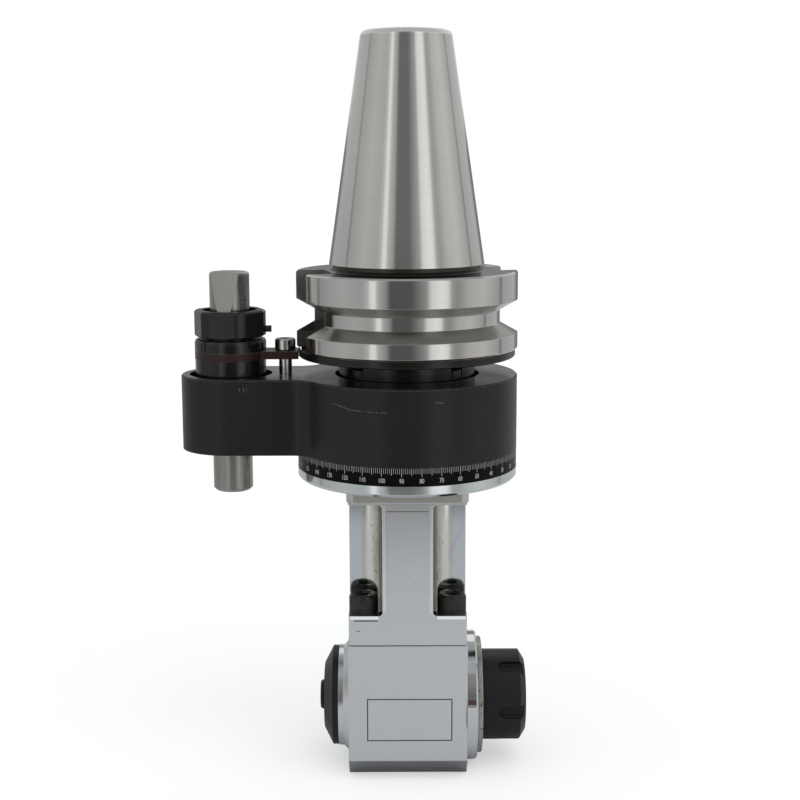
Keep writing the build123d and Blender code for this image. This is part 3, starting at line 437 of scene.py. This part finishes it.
def plated(name, colour, roughness, rounding=0.3 * mm, marks=None):
    """Bright plated steel, satin on the flats, with small dark specks."""
    shade = Shader(name)
    strokes = shade.noise(milled, detail=3, rough=0.55)
    clouds = shade.noise(26, detail=3, distortion=0.5)
    specks = shade.noise(260, detail=2, rough=0.7)
    normal, near_edge = shade.soft_edges(rounding)
    base = shade.mix(clouds, tone(*colour, gain=0.95), tone(*colour, gain=1.04))
    base = shade.mix(shade.span(specks, 0.72, 0.8, 0, 0.5), base, tone(*colour, gain=0.45))
    rough = shade.vary(clouds, roughness - 0.03, roughness + 0.04)
    metallic = 1.0
    if marks:
        base, rough, metallic = marks(shade, base, rough, metallic)
    base = shade.mix(shade.product(near_edge, 0.5), base, plated_edge)
    normal = shade.bump(strokes, 0.008 * mm, 0.2, normal)
    return shade.done(base, rough, normal, metallic)


def head_marks(shade, base, rough, metallic):
    """Painted shade: the head's bevel at its base is darkened."""
    low = shade.below(shade.axes()[2], base_bevel_top)
    return shade.mix(low, base, tone(*plating, gain=0.5)), rough, metallic


# Strips on the neck's front and back, the same left and right: painted highlights on the pocket rims and
# sills, painted shade along the rib's sides; from and to across and up, in mm
pocket_rims = (9.8, 11.4, -154, -104.8)
rib_sides = (9.4, 9.55, -146, -107.2)
pocket_sills = (13.2, 25.9, -156.9, -155.5)

# Dark lines on the neck's front and back that lie on one side or in the middle: painted shade under the
# rib's top step, and a line under the left sill
rib_top = (-9.5, 9.5, -107.6, -107.25)
under_left_sill = (-24.2, -13.4, -157.9, -157.35)

# A fleck under the left pocket and a faint smear in the right one, as the block's scratches
neck_fleck = (-22.7, -162.4, -21.4, -162.5, 0.3)
pocket_smear = (19, -132, 25.2, -119, 3.5)


def neck_marks(shade, base, rough, metallic):
    """The neck's warm pockets, painted highlights on its rims and sills, painted shade along the rib, and
    the fine lines on its front and back.
    """
    across, along, height = shade.axes()
    away = shade.magnitude(across)
    deep = shade.magnitude(along)
    inside = shade.product(shade.below(away, column_side - 0.8 * mm),
                           shade.below(deep, column_front - 0.4 * mm),
                           shade.within(height, pocket_floor + 0.1 * mm, pocket_top - 0.1 * mm, 0.02 * mm))
    base = shade.mix(inside, base, pocket_colour(shade, away))
    collar = shade.within(height, collar_foot, neck_flange_foot - 0.1 * mm, 0.05 * mm)
    base = shade.mix(shade.product(collar, 0.8), base, collar_warm)
    turned = shade.above(height, neck_flange_foot)
    base = shade.mix(turned, base, flange_cool)
    mirror = shade.math("MAXIMUM", inside, turned)
    rough = shade.product(rough, shade.span(mirror, 0, 1, 1, 0.4))
    front_or_back = shade.above(deep, column_front - 0.1 * mm)

    def strip(place, sideways, soft):
        left, right, low, high = (value * mm for value in place)
        return shade.product(front_or_back, shade.within(sideways, left, right, soft),
                             shade.within(height, low, high, soft))

    wide_soft, fine_soft = 0.2 * mm, 0.08 * mm
    # Painted highlights on the pocket rims here, and on the sills below
    rims = strip(pocket_rims, away, wide_soft)
    base = shade.mix(shade.product(rims, 0.8), base, lit_rim)
    # Painted shade: a dim line along each side of the rib and a dark line under its top step, joined with
    # a real fleck
    sides = strip(rib_sides, away, fine_soft)
    base = shade.mix(shade.product(sides, 0.3), base, rib_side_shade)
    shade_and_flecks = shade.math("MAXIMUM", shade.product(strip(rib_top, across, fine_soft), 0.7),
                      shade.product(strip(under_left_sill, across, fine_soft), 0.85))
    shade_and_flecks = shade.math("MAXIMUM", shade_and_flecks, shade.scratch(*neck_fleck))
    base = shade.mix(shade_and_flecks, base, dark_fleck_and_shade)
    sills = strip(pocket_sills, away, wide_soft)
    base = shade.mix(sills, base, lit_sill)
    return base, rough, shade.span(sills, 0, 1, metallic, 0.1)


def pocket_colour(shade, away):
    """A pocket's colour, by the distance from the middle: painted shade and specks by the rib, then a
    painted highlight and the paler wall.
    """
    stains = shade.noise((60, 60, 25), detail=3, distortion=0.8)
    colour = shade.mix(shade.span(stains, 0.4, 0.62), pocket_plain, pocket_stain)
    wall = shade.span(away, 18 * mm, 22 * mm)
    colour = shade.mix(wall, colour, pocket_wall)
    # Painted highlight on the pocket's curved wall, then painted shade by the rib
    shine = shade.within(away, 16.4 * mm, 18.2 * mm, 1.6 * mm)
    colour = shade.mix(shine, colour, pocket_shine)
    shadow = shade.span(away, 14.5 * mm, 12 * mm, 0, 0.85)
    colour = shade.mix(shadow, colour, pocket_shadow)
    rust = shade.span(shade.noise(620, detail=3, rough=0.7), 0.58, 0.66)
    spots = shade.product(shade.within(away, 10 * mm, 15 * mm, 3 * mm), rust)
    colour = shade.mix(shade.product(spots, 0.7), colour, pocket_rust)
    smear = shade.scratch(*pocket_smear)
    return shade.mix(shade.product(smear, 0.5), colour, pocket_tint)


def stained(name):
    """The labyrinth ring: warm grey steel with mottled dark stains."""
    shade = Shader(name)
    blots = shade.noise(300, detail=4, rough=0.6, distortion=0.6)
    large = shade.noise(45, detail=2)
    lines = shade.noise(turned_lying, detail=3)
    normal, near_edge = shade.soft_edges(0.2 * mm)
    spots = shade.product(shade.span(blots, 0.6, 0.66), shade.span(large, 0.5, 0.58))
    plain = shade.mix(large, tone(0.36, 0.34, 0.3), tone(0.48, 0.46, 0.41))
    base = shade.mix(spots, plain, tone(0.08, 0.065, 0.045))
    base = shade.mix(shade.product(near_edge, 0.5), base, tone(0.7, 0.69, 0.65))
    rough = shade.span(blots, 0.35, 0.6, 0.25, 0.55)
    return shade.done(base, rough, shade.bump(lines, 0.01 * mm, 0.3, normal), 0.85)


def rubber(name):
    """The seal's dull black rubber, slightly dusty."""
    shade = Shader(name)
    dust = shade.noise(180, detail=4)
    pores = shade.noise(2600, detail=2)
    normal, near_edge = shade.soft_edges(0.2 * mm)
    base = shade.mix(shade.span(dust, 0.4, 0.7), tone(0.012), tone(0.03, 0.029, 0.027))
    base = shade.mix(shade.product(near_edge, 0.3), base, tone(0.06))
    rough = shade.vary(dust, 0.6, 0.8)
    return shade.done(base, rough, shade.bump(pores, 0.03 * mm, 0.4, normal), 0.0)


def ink(name):
    """The dial's pale filling, a little uneven."""
    shade = Shader(name)
    patches = shade.noise(900, detail=3)
    base = shade.mix(patches, tone(0.4, 0.4, 0.39), tone(0.58, 0.58, 0.57))
    rough = shade.vary(patches, 0.45, 0.65)
    normal = shade.bump(patches, 0.02 * mm, 0.2, shade.add("ShaderNodeNewGeometry").outputs["Normal"])
    return shade.done(base, rough, normal, 0.0)


# Materials by the CAD's slots
materials = {
    "ground_steel": bright_metal("ground_steel", (0.64, 0.63, 0.61), 0.075, turned_upright,
                                 smudge=0.02, scratch=0.1, marks=shank_marks),
    "pin_steel": bright_metal("pin_steel", (0.36, 0.35, 0.325), 0.27, even, scratch=0.05, cloud=0.12),
    "screw_steel": bright_metal("screw_steel", (0.5, 0.48, 0.45), 0.28, even),
    "plated_steel": plated("plated_steel", plating, 0.24),
    "nut_steel": blackened("nut_steel", (0.013, 0.0135, 0.014), 0.38, brown=0.1, grain=turned_lying,
                           gloss=0.22),
    "black_steel": blackened("black_steel", oxide, 0.2, gloss=0.4),
    "black_screw_steel": blackened("black_screw_steel", (0.009, 0.0088, 0.0085), 0.26, wear=0.4,
                                   gloss=0.5),
    "dial_black": blackened("dial_black", (0.003, 0.003, 0.003), 0.34, brown=0, grain=turned_upright,
                            gloss=0.08),
    "lever_brown": blackened("lever_brown", (0.026, 0.012, 0.009), 0.34, wear=0.8),
    "gear_steel": bright_metal("gear_steel", (0.36, 0.35, 0.33), 0.32, even),
    "bearing_steel": bright_metal("bearing_steel", (0.6, 0.6, 0.6), 0.16, even),
    "shaft_steel": bright_metal("shaft_steel", (0.5, 0.49, 0.47), 0.25, turned_upright),
    "collet_steel": bright_metal("collet_steel", (0.6, 0.59, 0.57), 0.18, turned_lying),
    "labyrinth_steel": stained("labyrinth_steel"),
    "seal_rubber": rubber("seal_rubber"),
    "white_ink": ink("white_ink"),
}

# Materials of the nodes that don't look like the rest of their slot
by_node = {
    "neck": plated("plated_neck", (0.76, 0.775, 0.785), 0.24, rounding=0.5 * mm, marks=neck_marks),
    "head_housing": plated("plated_head", plating, 0.24, marks=head_marks),
    "shoulder_screw": bright_metal("shoulder_steel", (0.66, 0.64, 0.6), 0.14, even),
    "split_collar": blackened("collar_black", oxide, 0.12, gloss=0.5),
    "spring_sleeve": blackened("sleeve_black", (0.006, 0.006, 0.0062), 0.1, gloss=0.5),
    "spindle_cover": plated("plated_cover", (0.75, 0.755, 0.76), 0.05),
    "stop_block": blackened("block_black", (0.013, 0.0136, 0.0127), 0.34, gloss=0.25, marks=block_marks),
    "spindle": bright_metal("spindle_steel", (0.5, 0.49, 0.47), 0.22, turned_lying),
}


def dress_nodes():
    """Give each CAD node its own material, or that of its slot."""
    for name, node in nodes.items():
        slot_name = node.data.materials[0].name
        node.data.materials[0] = by_node.get(name) or materials[slot_name]


# Mesh helpers
sharp_angle = radians(35)


def new_piece(name, vertices, faces, material, body, slot):
    """A piece with smooth faces and sharp edges, which rides on a body."""
    mesh = bpy.data.meshes.new(name)
    mesh.from_pydata(vertices, [], faces)
    mesh.validate()
    mesh.materials.append(material)
    mesh.shade_smooth()
    mesh.set_sharp_from_angle(angle=sharp_angle)
    piece = bpy.data.objects.new(name, mesh)
    scene.collection.objects.link(piece)
    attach(piece, body)
    return piece


def joined(parts):
    """The vertices and faces of several shapes as those of one."""
    vertices = []
    faces = []
    for part_vertices, part_faces in parts:
        first = len(vertices)
        vertices += part_vertices
        faces += [tuple(first + index for index in face) for face in part_faces]
    return vertices, faces


def lathe(section, count):
    """Vertices and faces of a closed section of (radius, height) turned about Z."""
    vertices = []
    for step in range(count):
        angle = 2 * pi * step / count
        vertices += [Vector((r * cos(angle), r * sin(angle), z)) for r, z in section]
    size = len(section)
    faces = []
    for step in range(count):
        here = step * size
        there = (step + 1) % count * size
        for index in range(size):
            after = (index + 1) % size
            faces.append((here + index, there + index, there + after, here + after))
    return vertices, faces


# Dial ring with its degree scale, angles in degrees from the front toward +X
dial_inset = 0.1 * mm
dial_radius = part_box("dial_ring")[1].x - dial_inset
dial_inner = 46 * mm
dial_top = top_of("dial_ring")
dial_low = foot_of("dial_ring")
dial_edge = 0.1 * mm
dial_zero = 87
tick_proud = 0.015 * mm
digit_proud = 0.02 * mm
digit_line = dial_low + 1.5 * mm
digit_size = 2.9 * mm
digit_squeeze = 0.72
digit_weight = 0.01 * mm

# The scale's marks: each so many degrees, their length, and half their width in degrees
scale_marks = ((10, 3.7 * mm, 0.11), (5, 3.0 * mm, 0.11), (1, 2.3 * mm, 0.08))


def dial_point(angle, height, proud):
    """A point on the dial, or proud of it."""
    radius = dial_radius + proud
    return Vector((radius * sin(radians(angle)), -radius * cos(radians(angle)), height))


def tick(degree):
    """The vertices and face of a degree's mark, longer at each fifth and tenth."""
    length, half = next(sizes for each, *sizes in scale_marks if degree % each == 0)
    angle = dial_zero - degree
    start = dial_top - dial_edge
    corners = ((-half, start), (-half, start - length), (half, start - length), (half, start))
    return [dial_point(angle + side, height, tick_proud) for side, height in corners], [(0, 1, 2, 3)]


def digits(degree):
    """The vertices and faces of a degree's number, bent round the dial."""
    label = bpy.data.curves.new("label", "FONT")
    label.body = str(degree)
    label.size = digit_size
    label.offset = digit_weight
    label.align_x = "CENTER"
    label.resolution_u = 3
    holder = bpy.data.objects.new("label", label)
    flat = bpy.data.meshes.new_from_object(holder)
    vertices = []
    for vertex in flat.vertices:
        across = degrees(vertex.co.x * digit_squeeze / dial_radius)
        vertices.append(dial_point(dial_zero - degree + across, digit_line + vertex.co.y, digit_proud))
    faces = [tuple(face.vertices) for face in flat.polygons]
    bpy.data.objects.remove(holder)
    bpy.data.curves.remove(label)
    bpy.data.meshes.remove(flat)
    return vertices, faces


def make_dial():
    section = [(dial_inner, dial_low), (dial_radius, dial_low), (dial_radius, dial_top - dial_edge),
               (dial_radius - dial_edge, dial_top), (dial_inner, dial_top)]
    dial = new_piece("degree_dial", *lathe(section, 240), materials["dial_black"], "head", "dial_black")
    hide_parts("dial_ring")
    scale = [tick(degree) for degree in range(360)] + [digits(degree) for degree in range(0, 360, 10)]
    new_piece("dial_scale", *joined(scale), materials["white_ink"], "head", "dial_black")


# Socket screws with knurled heads
def cap_screw(length, thread, head, height, flats, depth):
    """Vertices and faces of a screw that points down, its head's underside at 0."""
    count = 96
    round_edge = 0.09 * head
    knurl = 0.02 * head
    chamfer = 0.6 * mm
    knurl_gap = 0.3 * mm
    mouth, lip = 0.66 * flats, 0.6 * flats
    lip_depth, hex_start = 0.03 * head, 0.07 * head
    drill_point = 0.2 * flats
    vertices = []
    faces = []

    def loop(radius_at, z):
        first = len(vertices)
        for step in range(count):
            angle = 2 * pi * step / count
            radius = radius_at(step, angle)
            vertices.append(Vector((radius * cos(angle), radius * sin(angle), z)))
        return first

    def round_loop(radius, z):
        return loop(lambda step, angle: radius, z)

    def knurl_loop(radius, z):
        return loop(lambda step, angle: radius - (knurl if step % 2 else 0), z)

    def hex_loop(z):
        def radius(step, angle):
            turn = (angle + pi / 6) % (pi / 3) - pi / 6
            return flats / 2 / cos(turn)
        return loop(radius, z)

    outer = head / 2
    loops = [
        round_loop(thread / 2 - chamfer, -length),
        round_loop(thread / 2, -length + chamfer),
        round_loop(thread / 2, 0),
        round_loop(outer - knurl, 0),
        knurl_loop(outer, knurl_gap),
        knurl_loop(outer, height - round_edge - knurl_gap),
        round_loop(outer - knurl, height - round_edge),
        round_loop(outer - 0.3 * round_edge - knurl, height - 0.35 * round_edge),
        round_loop(outer - round_edge, height),
        round_loop(mouth, height),
        round_loop(lip, height - lip_depth),
        hex_loop(height - hex_start),
        hex_loop(height - depth),
    ]
    for lower, upper in zip(loops, loops[1:]):
        for step in range(count):
            after = (step + 1) % count
            faces.append((lower + step, lower + after, upper + after, upper + step))
    faces.append(tuple(reversed(range(loops[0], loops[0] + count))))
    bottom = len(vertices)
    vertices.append(Vector((0, 0, height - depth - drill_point)))
    for step in range(count):
        faces.append((loops[-1] + step, loops[-1] + (step + 1) % count, bottom))
    return vertices, faces


def screw_group(name, node, sizes, places):
    """One piece of several like screws, each with its own turn, where the CAD's screws sit."""
    seat = top_of(node) - sizes["height"]
    tip_gap = 0.1 * mm
    first_turn, turn_step = 11, 23
    length = seat - foot_of(node) - tip_gap
    vertices, faces = cap_screw(length, **sizes)
    screws = []
    for index, place in enumerate(places):
        turn = Matrix.Rotation(radians(first_turn + turn_step * index), 4, "Z")
        sunk = place @ Matrix.Translation((0, 0, seat)) @ turn
        screws.append(([sunk @ vertex for vertex in vertices], faces))
    piece = new_piece(name, *joined(screws), materials["black_screw_steel"], "head", "black_screw_steel")
    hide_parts(node)


def make_screws():
    offsets = (-neck_screw_offset, neck_screw_offset)
    corners = [Matrix.Translation((x, y, 0)) for x in offsets for y in offsets]
    screw_group("neck_cap_screws", "neck_screws", neck_screw, corners)
    out = Matrix.Translation((cover_screw_circle, 0, 0))
    ring = [Matrix.Rotation(radians(45 + 90 * quarter), 4, "Z") @ out for quarter in range(4)]
    screw_group("cover_cap_screws", "bearing_cover_screws", cover_screw, ring)


# The stop pin's spring, which rides on the pin
spring_inner = 9.6 * mm
spring_outer = 12.4 * mm
spring_wire = 1.8 * mm
spring_corner = 0.25 * mm
spring_turns = 4
spring_flat_turns = 0.55


def coil(section, turns, flat_turns, start, rise):
    """Vertices and faces of a section wound about Z, which rises between two flat ends."""
    steps = 60
    vertices = []
    for step in range(turns * steps + 1):
        turn = step / steps
        share = min(max((turn - flat_turns) / (turns - 2 * flat_turns), 0), 1)
        centre = start + Vector((0, 0, rise * share))
        angle = 2 * pi * turn
        for radius, height in section:
            vertices.append(centre + Vector((radius * cos(angle), radius * sin(angle), height)))
    size = len(section)
    faces = [tuple(range(size)), tuple(reversed(range(len(vertices) - size, len(vertices))))]
    for step in range(turns * steps):
        here = step * size
        for index in range(size):
            after = (index + 1) % size
            faces.append((here + index, here + size + index, here + size + after, here + after))
    return vertices, faces


def make_spring():
    low, high = foot_of("pin_spring"), top_of("pin_spring")
    inner, outer, corner, half = spring_inner, spring_outer, spring_corner, spring_wire / 2
    section = [(inner + corner, -half), (outer - corner, -half), (outer, corner - half),
               (outer, half - corner), (outer - corner, half), (inner + corner, half),
               (inner, half - corner), (inner, corner - half)]
    start = pin_axis + Vector((0, 0, low + half))
    shape = coil(section, spring_turns, spring_flat_turns, start, high - low - spring_wire)
    spring = new_piece("stop_pin_spring", *shape, materials["screw_steel"], "stop_pin", "screw_steel")
    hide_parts("pin_spring")
    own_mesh(spring)


# An empty engraved border on the front of the head
def make_border():
    proud = 0.012 * mm
    face = -column_front - proud
    left, right, top, low = -18.6 * mm, 20.1 * mm, -194.3 * mm, -214.4 * mm
    line = 0.55 * mm
    outer = [(left, low), (right, low), (right, top), (left, top)]
    inner = [(left + line, low + line), (right - line, low + line),
             (right - line, top - line), (left + line, top - line)]
    vertices = [Vector((x, face, z)) for x, z in outer + inner]
    faces = [(index, (index + 1) % 4, (index + 1) % 4 + 4, index + 4) for index in range(4)]
    etched = blackened("etched_line", (0.075, 0.06, 0.05), 0.5, wear=0)
    new_piece("engraved_border", vertices, faces, etched, "head", "plated_steel")


# Floor, whose glow only the camera sees
floor_glow = 0.46


def make_floor():
    half_size = 12
    gap = 0.05 * mm
    height = base_height - gap
    corners = [(half_size * x, half_size * y, height) for x, y in ((-1, -1), (1, -1), (1, 1), (-1, 1))]
    mesh = bpy.data.meshes.new("floor")
    mesh.from_pydata(corners, [], [(0, 1, 2, 3)])
    floor = bpy.data.objects.new("floor", mesh)
    scene.collection.objects.link(floor)
    shade = Shader("pale_floor")
    grain = shade.noise(90, detail=4)
    shade.feed(shade.surface.inputs["Base Color"],
               shade.mix(grain, tone(0.56, 0.575, 0.59), tone(0.58, 0.595, 0.61)))
    shade.surface.inputs["Roughness"].default_value = 0.9
    shade.surface.inputs["Specular IOR Level"].default_value = 0
    seen = shade.add("ShaderNodeLightPath").outputs["Is Camera Ray"]
    glow = shade.add("ShaderNodeEmission")
    shade.feed(glow.inputs["Strength"], shade.product(seen, floor_glow))
    both = shade.add("ShaderNodeAddShader")
    shade.feed(both.inputs[0], shade.surface.outputs[0])
    shade.feed(both.inputs[1], glow.outputs[0])
    output = shade.tree.nodes["Material Output"]
    shade.feed(output.inputs["Surface"], both.outputs[0])
    mesh.materials.append(shade.material)


# Brightness of the studio round the object: degrees from the front toward +X, and strength
studio_bands = (
    (-180, 1.0), (-150, 0.6), (-101, 0.55), (-98, 0.3), (-95, 0.5), (-66, 0.62), (-44, 0.56),
    (-38, 0.7), (-35, 1.05), (-31, 1.05), (-28, 0.66), (-20, 0.46), (-16, 0.2), (4, 0.2),
    (9, 0.3), (19, 0.5), (23, 0.95), (34, 1.1), (40, 1.0), (44, 0.55), (50, 0.46), (62, 0.66),
    (80, 0.74), (104, 0.55), (107, 0.3), (110, 0.58), (125, 0.62), (150, 0.66), (180, 1.0),
)
studio_brightest = 1.1
studio_radius = 0.5
studio_top = 0.5


def studio_mesh():
    """A round wall with a roof, open below."""
    count = 96
    vertices = []
    for step in range(count):
        angle = 2 * pi * step / count
        for height in (base_height, studio_top):
            vertices.append((studio_radius * cos(angle), studio_radius * sin(angle), height))
    faces = []
    for step in range(count):
        here = 2 * step
        there = 2 * ((step + 1) % count)
        faces.append((here, there, there + 1, here + 1))
    faces.append(tuple(range(1, 2 * count, 2)))
    mesh = bpy.data.meshes.new("studio_panels")
    mesh.from_pydata(vertices, [], faces)
    return mesh


def studio_material():
    """The wall's bands, its roof, and the patches that single faces of the object mirror."""
    shade = Shader("studio_panels")
    across, along, height = shade.axes()
    angle = shade.math("ARCTAN2", across, shade.product(along, -1))
    share = shade.span(angle, -pi, pi)
    ramp = shade.add("ShaderNodeValToRGB")
    stops = ramp.color_ramp.elements
    while len(stops) < len(studio_bands):
        stops.new(0.5)
    for stop, (turn, strength) in zip(stops, studio_bands):
        stop.position = (turn + 180) / 360
        stop.color = tone(strength / studio_brightest)
    shade.feed(ramp.inputs[0], share)

    # Deeper contrast low on the wall
    deeper = shade.add("ShaderNodeGamma")
    shade.feed(deeper.inputs["Color"], ramp.outputs[0])
    shade.feed(deeper.inputs["Gamma"], shade.span(height, -0.05, 0.14, 1.3, 1))
    roof = shade.above(height, studio_top - mm)
    lit = shade.mix(roof, deeper.outputs[0], tone(0.36, 0.375, 0.39))

    # A dark opening low in front, for the spindle cover
    opening = shade.product(shade.within(share, 0.445, 0.54, 0.004),
                            shade.within(height, -0.19, -0.13, 0.01))
    lit = shade.mix(opening, lit, tone(0.08, 0.05, 0.045))

    # An even strip at the wall's foot, for the neck's flange
    strip = shade.span(height, -0.192, -0.197, 0, 0.35)
    lit = shade.mix(strip, lit, tone(0.43, 0.46, 0.46))

    # A dim patch behind
    behind = shade.product(shade.span(shade.magnitude(angle), 2.4, 2.6),
                           shade.within(height, -0.1, 0.075, 0.03))
    lit = shade.mix(behind, lit, tone(0.2, 0.205, 0.21))
    glow = shade.add("ShaderNodeEmission")
    shade.feed(glow.inputs["Color"], lit)
    glow.inputs["Strength"].default_value = studio_brightest
    shade.feed(shade.tree.nodes["Material Output"].inputs["Surface"], glow.outputs[0])
    shade.tree.nodes.remove(shade.surface)
    return shade.material


def make_surroundings():
    """Soft bright and dark panels round the object that only its reflections show."""
    mesh = studio_mesh()
    mesh.materials.append(studio_material())
    panels = bpy.data.objects.new("studio_panels", mesh)
    scene.collection.objects.link(panels)
    panels.visible_camera = False
    panels.visible_diffuse = False
    panels.visible_transmission = False
    panels.visible_volume_scatter = False
    panels.visible_shadow = False


# Soft lights: name, strength, degrees from the front toward +X, degrees up, and spread
lamps = (("key", 0.75, 38, 52, 50), ("fill", 0.35, -55, 40, 70))
ambient = 0.74


def make_world():
    """A white ground where it is seen or mirrored, and a weaker light on the rest."""
    world = bpy.data.worlds.new("studio")
    world.use_nodes = True
    scene.world = world
    tree = world.node_tree
    path = tree.nodes.new("ShaderNodeLightPath")
    seen = path.outputs["Is Camera Ray"]
    for name in ("Is Glossy Ray", "Is Transmission Ray"):
        node = tree.nodes.new("ShaderNodeMath")
        node.operation = "MAXIMUM"
        tree.links.new(seen, node.inputs[0])
        tree.links.new(path.outputs[name], node.inputs[1])
        seen = node.outputs[0]
    level = tree.nodes.new("ShaderNodeMapRange")
    level.inputs["To Min"].default_value = ambient
    level.inputs["To Max"].default_value = 1
    tree.links.new(seen, level.inputs["Value"])
    back = tree.nodes["Background"]
    back.inputs["Color"].default_value = tone(1)
    tree.links.new(level.outputs[0], back.inputs["Strength"])


def make_lamps():
    for name, strength, turn, height, spread in lamps:
        data = bpy.data.lights.new(name, "SUN")
        data.energy = strength
        data.angle = radians(spread)
        lamp = bpy.data.objects.new(name, data)
        scene.collection.objects.link(lamp)
        toward = Vector((sin(radians(turn)) * cos(radians(height)),
                         -cos(radians(turn)) * cos(radians(height)), sin(radians(height))))
        lamp.rotation_euler = toward.to_track_quat("Z", "Y").to_euler()
        lamp.location = toward
        lamp.visible_glossy = False


make_camera()
dress_nodes()
make_dial()
make_screws()
make_spring()
make_border()
make_floor()
make_surroundings()
make_world()
make_lamps()
